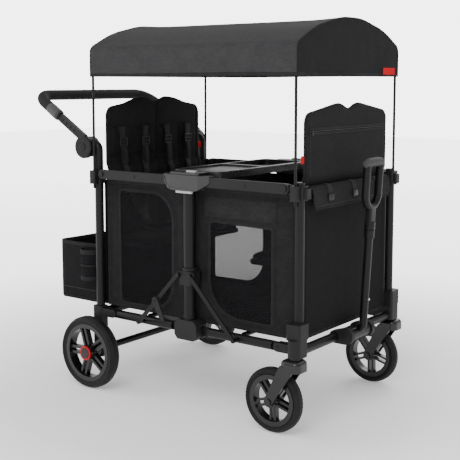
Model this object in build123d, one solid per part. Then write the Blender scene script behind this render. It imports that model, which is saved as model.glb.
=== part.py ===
"""Folding kids pull wagon: two end frames on wheels, joined by side rails that fold at a centre post.

Millimetres. +X points forward, to the pull-handle end, +Y to the left side, +Z up, floor at z = 0.
Every function works in the wagon's own layout, where x = 0 is the centre post. write() moves each
piece by ORIGIN_SHIFT, so that the origin lies on the floor under the middle of the overall length.
"""
import os
from math import atan2, cos, degrees, radians, sin, sqrt

from build123d import *

# ------------------------------------------------------------------ driving dimensions
POST_X, POST_Y, POST_R = 418, 288, 15           # corner posts of both end frames
TUBE_WALL = 1.6
POST_TOP = 777                                  # top of the front posts
AXLE_X, AXLE_Z, REAR_TRACK = 419, 127, 344      # rear axle, and middle of each rear wheel in Y
REAR_WHEEL_R, REAR_WHEEL_W = 127, 46            # 10 inch wheels
PEDAL_Y = (132, 222)                            # brake pedal, on the left half of the axle
CASTER_X, CASTER_Y = 420, 312                   # swivel axis
CASTER_TRAIL = 76
CASTER_WHEEL_R, CASTER_WHEEL_W = 101.6, 40      # 8 inch wheels

FOLD_LIMIT = 72                                 # degrees that every side rail turns when folded
RAIL_SPAN = 320                                 # between the two pivots of every half rail
TOP_RAIL_Z, TOP_RAIL_H = 757, 32
TOP_RAIL_Y0, TOP_RAIL_Y1 = 303.5, 315.5
TOP_HUB_PIVOT_X = 60
TOP_CORNER_PIVOT_X = TOP_HUB_PIVOT_X + RAIL_SPAN
LOW_RAIL_Z, LOW_RAIL_Y, LOW_RAIL_R = 265, 290, 15
LOW_HUB_PIVOT_X = 28
LOW_CORNER_PIVOT_X = LOW_HUB_PIVOT_X + RAIL_SPAN
TONGUE_Y0, TONGUE_Y1, TONGUE_R = 284, 296, 13.5  # flat ends of the lower rails
SLOT_GAP = 0.6                                  # free gap beside a tongue or a rail
PIN_R = 5
PIN_FIT = 0.08                                  # running clearance of a hinge pin
OPEN_PIVOT_FIT = 1.0                            # the pivots that close the linkage run this loose

CENTER_POST_R, CENTER_POST_Y = 21, 298
LOW_HUB_TOP, TOP_HUB_BOTTOM, TOP_HUB_TOP = 300, 727, 778
COLLAR_Z0, COLLAR_Z1 = 417, 473
BRACE_TOP_X, BRACE_TOP_Z = 25, 450
BRACE_FOOT_X = 200
BRACE_Y0, BRACE_Y1 = 328, 333
LOCK_LEVER_AT = (-118, 352)                     # pivot of the lock lever on the rear brace

HOOP_X, HOOP_Y, HOOP_R = 417, 312, 4.5
HOOP_FOOT, HOOP_SHOULDER, HOOP_PEAK = 706, 1188, 1271
CANOPY_GAP, CANOPY_THICK, CANOPY_HEM = 1.0, 3.0, 1093

PIVOT_X, PIVOT_Z, PIVOT_R = -464, 848, 40       # push-handle pivot discs
BAR_X, BAR_Z, BAR_Y = -728, 1026, 290           # corner of the push handle's bar
BAR_R, FOAM_R = 12.5, 19
ARM_Y, ARM_RISE, ARM_LENGTH = 314.6, 32, 150    # flat part of each arm, which starts above the pivot
BUTTON_TRAVEL = 3.5

PULL_X, PULL_Z, PULL_R = 456, 266, 22           # pull-handle pivot drum
PULL_BEND = (479, 292)                          # where the handle tube turns upwards
PULL_TOP = (497, 606)                           # top of the lower handle tube
PULL_TUBE_R, PULL_INNER_R = 13, 10.5
SNAP_DEPTH, SNAP_R = -226, 4                    # snap button below PULL_TOP
GRIP_RISE, GRIP_HALF, GRIP_BAR_R = 218, 54, 15  # D-grip above PULL_TOP, half width, bar radius

PANEL_Y0, PANEL_Y1 = 264, 268                   # fabric side walls
SEAT_FACE, SEAT_THICK, SEAT_HALF = 391, 15, 258
SEAT_STEP, SEAT_STEP_Z = 13, 758                # the back rest's upper part stands over the end tube
SEAT_BASE, SEAT_TOP = 545, 540                  # underside of the back rest, top of the seat pan
SEAT_PAN_X0, SEAT_PAN_X1, SEAT_HINGE_X = 200, 385, 387
BASKET_X0, BASKET_X1, BASKET_Y, BASKET_Z0, BASKET_Z1 = -664, -440, 250, 272, 492
BASKET_WALL = 5

PULL_LEAN = atan2(PULL_TOP[0] - PULL_BEND[0], PULL_TOP[1] - PULL_BEND[1])
FRONT_REACH = PULL_TOP[0] + GRIP_RISE * sin(PULL_LEAN) + GRIP_BAR_R
REAR_REACH = BAR_X - FOAM_R
ORIGIN_SHIFT = -(FRONT_REACH + REAR_REACH) / 2
BRACE_LENGTH = sqrt((BRACE_FOOT_X - BRACE_TOP_X) ** 2 + (BRACE_TOP_Z - LOW_RAIL_Z) ** 2)


# ------------------------------------------------------------------ helpers
def write(name, *shapes):
    """Write one sub-part. Several shapes are a group of separate solids in one node."""
    solids = [solid for shape in shapes for solid in shape.solids()]
    moved = [Pos(ORIGIN_SHIFT, 0, 0) * solid for solid in solids]
    export_step(moved[0] if len(moved) == 1 else Compound(children=moved), f"parts/{name}.step")


def flip_y(shape):
    return mirror(shape, about=Plane.XZ)


def flip_x(shape):
    return mirror(shape, about=Plane.YZ)


def both_sides(*shapes):
    """The left shapes and their mirror images on the right."""
    return [*shapes, *[flip_y(shape) for shape in shapes]]


def block(x0, x1, y0, y1, z0, z1, edge=0):
    """A box between two corners, with its upright edges rounded."""
    solid = Pos((x0 + x1) / 2, (y0 + y1) / 2, (z0 + z1) / 2) * Box(x1 - x0, y1 - y0, z1 - z0)
    return fillet(solid.edges().filter_by(Axis.Z), edge) if edge else solid


def pin_y(x, z, r, y0, y1):
    return Pos(x, (y0 + y1) / 2, z) * Rot(90, 0, 0) * Cylinder(r, y1 - y0)


def pin_z(x, y, r, z0, z1):
    return Pos(x, y, (z0 + z1) / 2) * Cylinder(r, z1 - z0)


def outline(points, radius=0):
    """A closed face from its corner points, with rounded corners."""
    if radius:
        return make_face(FilletPolyline(*points, radius=radius, close=True))
    return make_face(Polyline(*points, close=True))


def link(a, ra, b, rb):
    """A flat link: the hull of two circles."""
    circles = (Pos(*a) * Circle(ra)).edges() + (Pos(*b) * Circle(rb)).edges()
    return make_hull(circles)


def plate_y(sketch, y0, y1):
    """Extrude a sketch drawn in X and Z from y0 to y1."""
    return extrude(Plane.XZ.offset(-y1) * sketch, amount=y1 - y0)


def plate_x(sketch, x0, x1):
    """Extrude a sketch drawn in Y and Z from x0 to x1."""
    return extrude(Plane.YZ.offset(x0) * sketch, amount=x1 - x0)


def pipe(points, r, bend, wall=0):
    """A round tube or rod along straight runs joined by arcs."""
    path = FilletPolyline(*points, radius=bend) if len(points) > 2 else Line(*points)
    section = Circle(r) - Circle(r - wall) if wall else Circle(r)
    return sweep(Plane(origin=path @ 0, z_dir=path % 0) * section, path=path)


# ------------------------------------------------------------------ wheels
def spoked_wheel(tread, rim_width, hub_r, hub_width, bore, spoke, spacing, first):
    """Rim with five pairs of parallel spokes, axis along Y, centred on the origin.

    first is the angle of the first pair.
    """
    rim_in = tread - 15
    rim = Cylinder(tread, rim_width) - Cylinder(rim_in, rim_width)
    rim -= Cylinder(tread, rim_width * 0.4) - Cylinder(tread - 6, rim_width * 0.4)
    wheel = rim + Cylinder(hub_r, hub_width)
    length = rim_in + 3 - hub_r * 0.6
    for turn in range(5):
        for side in (-1, 1):
            bar = Box(length, spoke, rim_width * 0.55)
            bar = Pos(hub_r * 0.6 + length / 2, side * spacing / 2, 0) * bar
            wheel += Rot(0, 0, 72 * turn + first) * bar
    wheel -= Cylinder(bore, hub_width * 2)
    return Rot(90, 0, 0) * wheel


def tyre(radius, tread, width):
    """Rubber tyre with a rounded tread, axis along Y, centred on the origin."""
    section = outline(
        [(tread + 0.05, -width * 0.36), (radius - 8, -width / 2), (radius, -width * 0.2),
         (radius, width * 0.2), (radius - 8, width / 2), (tread + 0.05, width * 0.36)], 3.5)
    ring = revolve(Plane.XZ * section, Axis.Z)
    return Rot(90, 0, 0) * ring


def rear_wheels():
    tread, hub_r, cap_r, face = 102, 26, 19, 366
    wheel = Pos(-AXLE_X, REAR_TRACK, AXLE_Z) * spoked_wheel(
        tread, 36, hub_r, 44, 6 + PIN_FIT, 9, 20, 108)
    cap = pin_y(-AXLE_X, AXLE_Z, cap_r, face, 373)
    wheel = wheel + fillet(cap.faces().sort_by(Axis.Y)[-1].edges(), 2)
    wheel += pin_y(-AXLE_X, AXLE_Z, hub_r - 3, 311, 324) - pin_y(-AXLE_X, AXLE_Z, 6 + PIN_FIT, 311, 324)
    rubber = Pos(-AXLE_X, REAR_TRACK, AXLE_Z) * tyre(REAR_WHEEL_R, tread, REAR_WHEEL_W)
    ring = pin_y(-AXLE_X, AXLE_Z, hub_r - 1, face, 371) - pin_y(-AXLE_X, AXLE_Z, cap_r + 0.05, face, 371)
    for name, side in (("left", 1), ("right", -1)):
        for node, shape in (("rear_wheel", wheel), ("rear_tyre", rubber), ("rear_hub_ring", ring)):
            write(f"{node}_{name}", shape if side > 0 else flip_y(shape))


def casters():
    """Swivelling forks and their wheels, trailing behind the swivel axis."""
    tread, arm_in, arm_out = 81, 27, 34
    wheel_x = CASTER_X - CASTER_TRAIL
    crown = block(382, 452, CASTER_Y - arm_out, CASTER_Y + arm_out, 206, 241, 22)
    crown = fillet(crown.faces().sort_by(Axis.Z)[-1].edges(), 14)
    arm_shape = link((wheel_x, CASTER_WHEEL_R), 15, (CASTER_X - 12, 215), 24) & outline(
        [(300, 60), (448, 60), (448, 222), (300, 222)])
    fork = crown + pin_z(CASTER_X, CASTER_Y, 17, 236, 244)
    fork += pin_z(CASTER_X, CASTER_Y, 8, 240, 298)
    for y0, y1 in ((-arm_out, -arm_in), (arm_in, arm_out)):
        fork += plate_y(arm_shape, CASTER_Y + y0, CASTER_Y + y1)
    fork += pin_y(wheel_x, CASTER_WHEEL_R, PIN_R, CASTER_Y - arm_out, CASTER_Y + arm_out)
    for y0, y1 in ((-arm_out - 4, -arm_out), (arm_out, arm_out + 4)):
        fork += pin_y(wheel_x, CASTER_WHEEL_R, 11, CASTER_Y + y0, CASTER_Y + y1)
    wheel = Pos(wheel_x, CASTER_Y, CASTER_WHEEL_R) * spoked_wheel(
        tread, 32, 20, 50, PIN_R + PIN_FIT, 7.5, 17, 56)
    rubber = Pos(wheel_x, CASTER_Y, CASTER_WHEEL_R) * tyre(CASTER_WHEEL_R, tread, CASTER_WHEEL_W)
    for name, side in (("left", 1), ("right", -1)):
        for node, shape in (("caster_fork", fork), ("caster_wheel", wheel), ("caster_tyre", rubber)):
            write(f"{node}_{name}", shape if side > 0 else flip_y(shape))


# ------------------------------------------------------------------ end frames
def corner_bracket(post):
    """Top corner bracket: clamps the post, holds the canopy pole and carries the top rail's pivot."""
    body = block(400, 438, 268, 303, 722, 768, 6)
    body += block(404, 430, 300, 326, 722, 768, 6)
    body += block(436, 450, 273, 299, 728, 760, 4)
    lug = link((TOP_CORNER_PIVOT_X, TOP_RAIL_Z), 15, (410, 752), 15)
    body += plate_y(lug, 297, TOP_RAIL_Y0 - 0.3)
    body += pin_y(TOP_CORNER_PIVOT_X, TOP_RAIL_Z, PIN_R, 297, 320)
    body += pin_y(TOP_CORNER_PIVOT_X, TOP_RAIL_Z, 8, TOP_RAIL_Y1 + 0.5, 320)
    body -= pin_z(HOOP_X, HOOP_Y, HOOP_R + 0.3, 700, 800)
    return body - post


def low_lug(end):
    """Two plates that hold the flat end of a lower rail on a loose or a close pin."""
    sketch = link((LOW_CORNER_PIVOT_X, LOW_RAIL_Z), 14, (end, LOW_RAIL_Z), 14)
    plates = plate_y(sketch, 276, TONGUE_Y0 - SLOT_GAP) + plate_y(sketch, TONGUE_Y1 + SLOT_GAP, 304)
    return plates + pin_y(LOW_CORNER_PIVOT_X, LOW_RAIL_Z, PIN_R, 276, 306)


def cross_tubes():
    """Top and bottom tubes that join the two posts of an end frame, at the front."""
    top = pipe([(420, -268, 745), (420, 268, 745)], 11, 0, TUBE_WALL)
    low = pipe([(POST_X, -272, 260), (POST_X, 272, 260)], POST_R, 0, TUBE_WALL)
    return top, low


def front_frame():
    post_space = pin_z(POST_X, POST_Y, POST_R, 306, POST_TOP)
    post = post_space - pin_z(POST_X, POST_Y, POST_R - TUBE_WALL, 306, POST_TOP - 6)
    write("front_end_frame", *both_sides(post), *cross_tubes())

    casting = block(392, 444, 268, 324, 300, 349, 9)
    casting += block(398, 442, 272, 320, 246, 302, 9)
    casting += pin_z(CASTER_X, CASTER_Y, 22, 246, 302)
    casting += low_lug(400)
    casting -= post_space
    casting -= pin_z(CASTER_X, CASTER_Y, 8 + PIN_FIT, 240, 299)
    write("front_castings", *both_sides(casting))
    write("front_corner_brackets", *both_sides(corner_bracket(post_space)))

    cheek = link((POST_X, 260), 21, (PULL_X, PULL_Z), 27)
    mount = plate_y(cheek, 57.5, 75) + plate_y(cheek, -75, -57.5)
    mount += pin_y(PULL_X, PULL_Z, 7, -76, 76)
    mount -= pin_y(POST_X, 260, POST_R, -80, 80)
    write("pull_handle_mount", mount)
    write("front_end_panel", block(410, 414, -266, 266, 286, 732))
    write("front_pocket_flap", block(436, 442, -245, 245, 690, 762))
    write("front_seat_back", seat_back(983, 1007, 989))


def rear_frame():
    bend_z = PIVOT_Z + 14
    route = [(-POST_X, POST_Y, 150), (-POST_X, POST_Y, bend_z), (-446, POST_Y, bend_z)]
    post = pipe(route, POST_R, 12 + POST_R, TUBE_WALL)
    post_space = pipe(route, POST_R, 12 + POST_R)
    write("rear_end_frame", *both_sides(post), *[flip_x(tube) for tube in cross_tubes()])

    casting = block(-440, -396, 272, 308, 104, 285, 8) + flip_x(low_lug(400))
    casting += pin_y(-AXLE_X, AXLE_Z, 17, 300, 310)
    casting -= post_space
    casting -= pin_y(-AXLE_X, AXLE_Z, 6, 250, 330)
    write("rear_castings", *both_sides(casting))
    write("rear_corner_brackets", *both_sides(flip_x(corner_bracket(flip_x(post_space)))))

    axle = pin_y(-AXLE_X, AXLE_Z, 12, -272, 272) + pin_y(-AXLE_X, AXLE_Z, 6, -365, 365)
    write("rear_axle", axle)
    housing = pin_y(PIVOT_X, PIVOT_Z, PIVOT_R - 4, 270, 303.8) - post_space
    housing += pin_y(PIVOT_X, PIVOT_Z, 6, 290, 311)
    write("handle_pivot_housings", *both_sides(housing))
    write("rear_end_panel", block(-414, -410, -266, 266, 286, 732))
    write("rear_seat_back", flip_x(seat_back(989, 1020, 1002)))

    paddle = outline([(-431, 118), (-431, 134), (-500, 150), (-505, 143), (-470, 128), (-440, 118)], 3)
    inner, outer = PEDAL_Y
    pedal = pin_y(-AXLE_X, AXLE_Z, 18, inner, outer) + plate_y(paddle, inner + 3, outer - 3)
    pedal -= pin_y(-AXLE_X, AXLE_Z, 12 + 0.3, inner - 5, outer + 5)
    write("brake_pedal", pedal)


def seat_back(corner_z, peak_z, notch_z):
    """Back rest of the front seat: a board with two shoulders, a notch and a step over the end tube."""
    half = SEAT_HALF
    points = [(-half, SEAT_BASE), (-half, corner_z - 30), (-half + 26, corner_z), (-150, corner_z + 14),
              (-70, peak_z), (0, notch_z), (70, peak_z), (150, corner_z + 14),
              (half - 26, corner_z), (half, corner_z - 30), (half, SEAT_BASE)]
    shape = outline(points, 10)
    face, back = SEAT_FACE, SEAT_FACE + SEAT_THICK
    lower = plate_x(shape, face, back) & block(face, back, -half, half, SEAT_BASE, SEAT_STEP_Z + 20)
    upper = plate_x(shape, face + SEAT_STEP, back + SEAT_STEP)
    upper &= block(face, back + SEAT_STEP, -half, half, SEAT_STEP_Z, 1100)
    return lower + upper


def seats_and_basket():
    pan = block(SEAT_PAN_X0, SEAT_PAN_X1, -255, 255, SEAT_TOP - 40, SEAT_TOP, 12)
    write("front_seat_pan", pan)
    write("rear_seat_pan", flip_x(pan))
    wall = BASKET_WALL
    basket = block(BASKET_X0, BASKET_X1, -BASKET_Y, BASKET_Y, BASKET_Z0, BASKET_Z1, 14)
    basket -= block(BASKET_X0 + wall, BASKET_X1 - wall, -BASKET_Y + wall, BASKET_Y - wall,
                    BASKET_Z0 + wall, BASKET_Z1 + 10, 10)
    cup_x, cup_y, cup_r = -494, -BASKET_Y - 14, 44
    pocket = pin_z(cup_x, cup_y, cup_r, 360, 476) - pin_z(cup_x, cup_y, cup_r - 4, 364, 480)
    pocket -= block(-560, -400, -BASKET_Y - 0.5, 0, 300, 500)
    write("storage_basket", basket, pocket)


# ------------------------------------------------------------------ folding sides
def top_rail():
    """Front half of the left top rail: a flat bar with round ends."""
    bar = link((TOP_HUB_PIVOT_X, TOP_RAIL_Z), TOP_RAIL_H / 2,
               (TOP_CORNER_PIVOT_X, TOP_RAIL_Z), TOP_RAIL_H / 2)
    rail = plate_y(bar, TOP_RAIL_Y0, TOP_RAIL_Y1)
    for x in (TOP_HUB_PIVOT_X, TOP_CORNER_PIVOT_X):
        rail -= pin_y(x, TOP_RAIL_Z, PIN_R + PIN_FIT, 290, 330)
    return rail + pin_y(230, TOP_RAIL_Z, 5, TOP_RAIL_Y1, TOP_RAIL_Y1 + 1.5)


def low_rail(hub_fit, corner_fit):
    """Front half of the left lower rail: a tube with a flat tongue at each end and a brace boss."""
    tube_x0, tube_x1 = LOW_HUB_PIVOT_X + 48, LOW_CORNER_PIVOT_X - 21
    ends = [(tube_x0, LOW_RAIL_Y, LOW_RAIL_Z), (tube_x1, LOW_RAIL_Y, LOW_RAIL_Z)]
    rail = pipe(ends, LOW_RAIL_R, 0, TUBE_WALL)
    for pivot, end, fit in ((LOW_HUB_PIVOT_X, tube_x0 + 12, hub_fit),
                            (LOW_CORNER_PIVOT_X, tube_x1 - 12, corner_fit)):
        tongue = link((pivot, LOW_RAIL_Z), TONGUE_R, (end, LOW_RAIL_Z), TONGUE_R)
        rail += plate_y(tongue, TONGUE_Y0, TONGUE_Y1)
        rail -= pin_y(pivot, LOW_RAIL_Z, PIN_R + fit, 270, 310)
    return rail + pin_y(BRACE_FOOT_X, LOW_RAIL_Z, 7, 298, BRACE_Y0 - 0.6)


def floor_half():
    board = block(12, 338, -258, 258, 283, 295, 10)
    slat = pipe([(BRACE_FOOT_X, -275, 274), (BRACE_FOOT_X, 275, 274)], 8, 0, TUBE_WALL)
    return board, slat


def folding_sides():
    write("front_top_rails", *both_sides(top_rail()))
    write("rear_top_rails", *both_sides(flip_x(top_rail())))
    board, slat = floor_half()
    write("front_bottom_rails", *both_sides(low_rail(PIN_FIT, OPEN_PIVOT_FIT)), slat)
    write("rear_bottom_rails", *both_sides(flip_x(low_rail(OPEN_PIVOT_FIT, PIN_FIT))), flip_x(slat))
    write("front_floor_board", board)
    write("rear_floor_board", flip_x(board))

    panel = block(26, 398, PANEL_Y0, PANEL_Y1, 288, 735)
    write("front_side_panels", *both_sides(panel))
    write("rear_side_panels", *both_sides(flip_x(panel)))


def hub_outline():
    """Side view of a centre hub: a flat top and a keel that curves up to both ends."""
    half, shoulder = 97, 755
    points = [(-half, TOP_HUB_TOP), (-half, shoulder), (-55, TOP_HUB_BOTTOM),
              (55, TOP_HUB_BOTTOM), (half, shoulder), (half, TOP_HUB_TOP)]
    return make_face(FilletPolyline(*points, radius=[5, 24, 60, 60, 24, 5], close=True))


def center_posts():
    post = pin_z(0, CENTER_POST_Y, CENTER_POST_R, LOW_HUB_TOP, TOP_HUB_BOTTOM)
    post -= pin_z(0, CENTER_POST_Y, CENTER_POST_R - 2, LOW_HUB_TOP, TOP_HUB_BOTTOM)
    write("center_posts", *both_sides(post))

    side_shape = hub_outline()
    plan = outline([(-102, 294), (-102, 312), (-62, 334), (62, 334), (102, 312), (102, 294)], 10)
    plan_solid = Pos(0, 0, 700) * extrude(plan, amount=100)
    hub = plate_y(side_shape, 290, 340) & plan_solid
    hub -= plate_y(offset(side_shape, amount=-7), 306, 340) - Pos(0, -1.4, 0) * plan_solid
    hub += block(-28, 28, 275, 330, TOP_HUB_BOTTOM, TOP_HUB_TOP - 2)
    slot_y0, slot_y1 = TOP_RAIL_Y0 - SLOT_GAP, TOP_RAIL_Y1 + SLOT_GAP
    for side in (-1, 1):
        x0, x1 = sorted((side * 34, side * 110))
        hub -= block(x0, x1, slot_y0, slot_y1, 700, TOP_RAIL_Z + TOP_RAIL_H / 2 + 1)
        hub += pin_y(side * TOP_HUB_PIVOT_X, TOP_RAIL_Z, PIN_R, slot_y0 - 1, slot_y1 + 1)
    hub -= block(-33.5, 33.5, 318, 330.5, 700, 733)
    write("center_hubs", *both_sides(hub))

    lever = block(-33, 33, CENTER_POST_Y + CENTER_POST_R + 0.5, 330, 719, 726.6, 2)
    write("fold_release", *both_sides(lever))

    shape = outline([(-46, 248), (-46, 286), (-34, LOW_HUB_TOP), (34, LOW_HUB_TOP), (46, 286), (46, 248),
                     (34, 234), (-34, 234)], 6)
    low_hub = plate_y(shape, 270, 324)
    for side in (-1, 1):
        x0, x1 = sorted((side * 12, side * 60))
        low_hub -= block(x0, x1, TONGUE_Y0 - SLOT_GAP, TONGUE_Y1 + SLOT_GAP, 200, 280)
        low_hub += pin_y(side * LOW_HUB_PIVOT_X, LOW_RAIL_Z, PIN_R, TONGUE_Y0 - 2, TONGUE_Y1 + 2)
    write("lower_hubs", *both_sides(low_hub))


def brace_set():
    """Sliding collars on the centre posts and the braces that hang from them."""
    collar = block(-29, 29, 271, 325, COLLAR_Z0, COLLAR_Z1 - 10, 12)
    collar += pin_z(0, CENTER_POST_Y, 26, 460, COLLAR_Z1)
    collar += block(-36, 36, 312, 325, 438, 460, 4)
    for side in (-1, 1):
        collar += pin_y(side * BRACE_TOP_X, BRACE_TOP_Z, 4, 320, BRACE_Y1 + 2.4)
        collar += pin_y(side * BRACE_TOP_X, BRACE_TOP_Z, 7, BRACE_Y1 + 0.4, BRACE_Y1 + 2.4)
    collar -= pin_z(0, CENTER_POST_Y, CENTER_POST_R + 0.3, 400, 500)
    write("brace_collars", *both_sides(collar))

    bar = link((BRACE_TOP_X, BRACE_TOP_Z), 7, (BRACE_FOOT_X, LOW_RAIL_Z), 7)
    brace = plate_y(bar, BRACE_Y0, BRACE_Y1) - pin_y(BRACE_TOP_X, BRACE_TOP_Z, 4 + PIN_FIT, 320, 340)
    brace += pin_y(BRACE_FOOT_X, LOW_RAIL_Z, 6, BRACE_Y1, BRACE_Y1 + 2)
    write("front_braces", *both_sides(brace))
    pivot_x, pivot_z = LOCK_LEVER_AT
    rear_brace = flip_x(brace) + pin_y(pivot_x, pivot_z, 4, BRACE_Y1 - 1, 341)
    write("rear_braces", *both_sides(rear_brace))

    lever = plate_y(link((pivot_x, pivot_z), 13, (-88, 296), 9), BRACE_Y1 + 0.4, 340)
    lever -= pin_y(pivot_x, pivot_z, 4 + PIN_FIT, 320, 350)
    write("fold_lock_lever", *both_sides(lever))


def snack_tray():
    """Moulded tray across the wagon, with a flange over each hub and two recesses."""
    tray = block(-100, 100, -270, 270, 764, 788, 26)
    tray = fillet(tray.faces().sort_by(Axis.Z)[-1].edges(), 3)
    tray += block(-60, 60, -330, 330, 779, 786, 12)
    tray -= block(-84, 84, -250, -12, 782, 800, 20)
    tray -= block(-84, 84, 12, 250, 769, 800, 20)
    write("snack_tray", tray)
    write("tray_latches", *both_sides(block(0, 38, 302, 316, 786.4, 792, 2)))


# ------------------------------------------------------------------ canopy
def hoop_points(x, grow=0):
    """Corner points of a hoop, foot to foot, grown outwards by some millimetres."""
    y, z = HOOP_Y + grow, HOOP_SHOULDER + grow * 0.6
    half = [(x, y, HOOP_FOOT), (x, y, z), (x, 208, 1238 + grow * 1.05), (x, 60, HOOP_PEAK + grow)]
    return half + [(px, -py, pz) for px, py, pz in reversed(half)]


def canopy_section(grow):
    """Face inside the hoop's line, grown outwards and closed at the hem."""
    points = [(y, max(z, CANOPY_HEM)) for x, y, z in hoop_points(0, grow)]
    line = FilletPolyline(*points, radius=[26 + grow, 380, 380, 380, 380, 26 + grow])
    return make_face([*line.edges(), Line(points[-1], points[0])])


def canopy():
    radii = [26, 380, 380, 380, 380, 26]
    path = FilletPolyline(*hoop_points(HOOP_X), radius=radii)
    hoop = sweep(Plane(origin=path @ 0, z_dir=path % 0) * Circle(HOOP_R), path=path)
    write("front_canopy_hoop", hoop)
    write("rear_canopy_hoop", flip_x(hoop))

    inner = HOOP_R + CANOPY_GAP
    end = HOOP_X + inner
    shell = plate_x(canopy_section(inner + CANOPY_THICK), -end - CANOPY_THICK, end + CANOPY_THICK)
    hollow = plate_x(canopy_section(inner), -end, end) + block(
        -end, end, -HOOP_Y - inner, HOOP_Y + inner, CANOPY_HEM - 5, CANOPY_HEM + 5)
    write("canopy_cover", shell - hollow)


# ------------------------------------------------------------------ handles
def push_handle():
    """U-shaped handle on two pivot discs, with flat lower arms and a foam-covered bar."""
    start = Vector(PIVOT_X, ARM_Y, PIVOT_Z + ARM_RISE)
    run = Vector(BAR_X, BAR_Y, BAR_Z) - start
    along = run.normalized()
    arm_frame = Plane(origin=start, x_dir=along, z_dir=Vector(0, 1, 0) - along * along.Y)
    arm = arm_frame * extrude(SlotOverall(ARM_LENGTH + 14, 28), amount=7, both=True)
    arm = Pos(*(along * (ARM_LENGTH / 2 - 7))) * arm
    for step in range(4):
        spot = start + along * (50 + 24 * step)
        arm -= pin_y(spot.X, spot.Z, 3, 250, 350)
    disc = pin_y(PIVOT_X, PIVOT_Z, PIVOT_R, 304.2, 322)
    disc = fillet(disc.faces().sort_by(Axis.Y)[-1].edges(), 5)
    disc += arm
    disc -= pin_y(PIVOT_X, PIVOT_Z, 6 + PIN_FIT, 300, 312)
    disc -= pin_y(PIVOT_X, PIVOT_Z, 14 + 0.2, 311.5, 330)
    write("push_handle_arms", *both_sides(disc))
    button = pin_y(PIVOT_X, PIVOT_Z, 14, 315.5, 324)
    button = fillet(button.faces().sort_by(Axis.Y)[-1].edges(), 2)
    write("pivot_button_left", button)
    write("pivot_button_right", flip_y(button))

    bar_start = start + along * ARM_LENGTH
    corners = [tuple(bar_start), (BAR_X, BAR_Y, BAR_Z)]
    route = corners + [(x, -y, z) for x, y, z in reversed(corners)]
    write("push_handle_bar", pipe(route, BAR_R, 62, TUBE_WALL))
    foam_start = start + along * (ARM_LENGTH + 4)
    corners = [tuple(foam_start), (BAR_X, BAR_Y, BAR_Z)]
    route = corners + [(x, -y, z) for x, y, z in reversed(corners)]
    write("push_handle_grip", pipe(route, FOAM_R, 62, FOAM_R - BAR_R - 0.1))


def pull_handle():
    """Telescoping pull handle with a D-grip, leaning slightly forward."""
    lean = degrees(PULL_LEAN)
    base, bend, top = (PULL_X, 0, PULL_Z), (PULL_BEND[0], 0, PULL_BEND[1]), (PULL_TOP[0], 0, PULL_TOP[1])
    at_top = Pos(*top) * Rot(0, lean, 0)
    tube = pipe([base, bend, top], PULL_TUBE_R, 24) + pin_y(PULL_X, PULL_Z, PULL_R, -57, 57)
    tube += at_top * Pos(0, 0, -13) * Cylinder(16.5, 26)
    tube -= at_top * Pos(0, 0, -130) * Cylinder(PULL_INNER_R + 0.3, 262)
    tube -= pin_y(PULL_X, PULL_Z, 7 + PIN_FIT, -60, 60)
    button_at = Pos(0, 0, SNAP_DEPTH) * Rot(0, 90, 0)
    tube -= at_top * button_at * Pos(0, 0, PULL_TUBE_R) * Cylinder(SNAP_R + 0.1, 8)
    write("pull_handle_tube", tube)
    write("snap_button", at_top * button_at * Pos(0, 0, PULL_TUBE_R + 1) * Cylinder(SNAP_R, 5))

    stem = Pos(0, 0, -119) * Cylinder(PULL_INNER_R, 242) + Pos(0, 0, 14) * Cylinder(17, 24)
    stem -= button_at * Pos(0, 0, PULL_INNER_R - 2) * Cylinder(SNAP_R + 0.6, 12)
    loop_r, loop_z = 12.5, 75
    loop_y = GRIP_HALF - loop_r
    loop = pipe([(0, -loop_y, GRIP_RISE), (0, -loop_y, loop_z), (0, loop_y, loop_z), (0, loop_y, GRIP_RISE)],
                loop_r, loop_y - 1)
    yoke = loop + block(-11, 11, -18, 18, 20, loop_z + 4, 7)
    write("pull_grip_yoke", at_top * (stem + yoke))
    bar = Pos(0, 0, GRIP_RISE) * Rot(90, 0, 0) * Cylinder(GRIP_BAR_R, 2 * GRIP_HALF)
    for side in (-1, 1):
        bar -= pin_z(0, side * loop_y, loop_r + 0.05, GRIP_RISE - 30, GRIP_RISE)
    write("pull_grip_bar", at_top * bar)


def main():
    os.makedirs("parts", exist_ok=True)
    rear_wheels()
    casters()
    front_frame()
    rear_frame()
    seats_and_basket()
    folding_sides()
    center_posts()
    brace_set()
    snack_tray()
    canopy()
    push_handle()
    pull_handle()


main()
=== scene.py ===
"""Looks of the folding kids pull wagon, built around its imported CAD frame. Metres, +X forward, +Z up."""
from math import cos, pi, radians, sin, sqrt

import bmesh
import bpy
import numpy as np
from mathutils import Matrix, Vector


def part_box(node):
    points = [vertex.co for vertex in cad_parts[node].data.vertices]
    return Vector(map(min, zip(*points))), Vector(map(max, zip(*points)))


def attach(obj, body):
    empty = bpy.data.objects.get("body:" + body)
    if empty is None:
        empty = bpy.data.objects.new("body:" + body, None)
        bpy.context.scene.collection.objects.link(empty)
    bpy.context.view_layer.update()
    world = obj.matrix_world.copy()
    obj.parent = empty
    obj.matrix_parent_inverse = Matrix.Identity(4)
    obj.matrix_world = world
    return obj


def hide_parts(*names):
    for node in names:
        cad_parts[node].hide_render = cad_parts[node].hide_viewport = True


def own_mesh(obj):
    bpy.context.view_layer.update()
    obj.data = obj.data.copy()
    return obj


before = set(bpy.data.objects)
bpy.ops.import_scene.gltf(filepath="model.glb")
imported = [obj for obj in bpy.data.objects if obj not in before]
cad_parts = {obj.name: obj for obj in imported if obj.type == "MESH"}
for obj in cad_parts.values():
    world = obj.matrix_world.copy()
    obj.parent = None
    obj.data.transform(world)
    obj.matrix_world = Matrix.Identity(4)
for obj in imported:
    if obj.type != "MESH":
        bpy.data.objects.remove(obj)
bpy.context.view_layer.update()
MM = 0.001
SIDES = (("left", 1), ("right", -1))
ENDS = (("front", 1), ("rear", -1))


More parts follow.
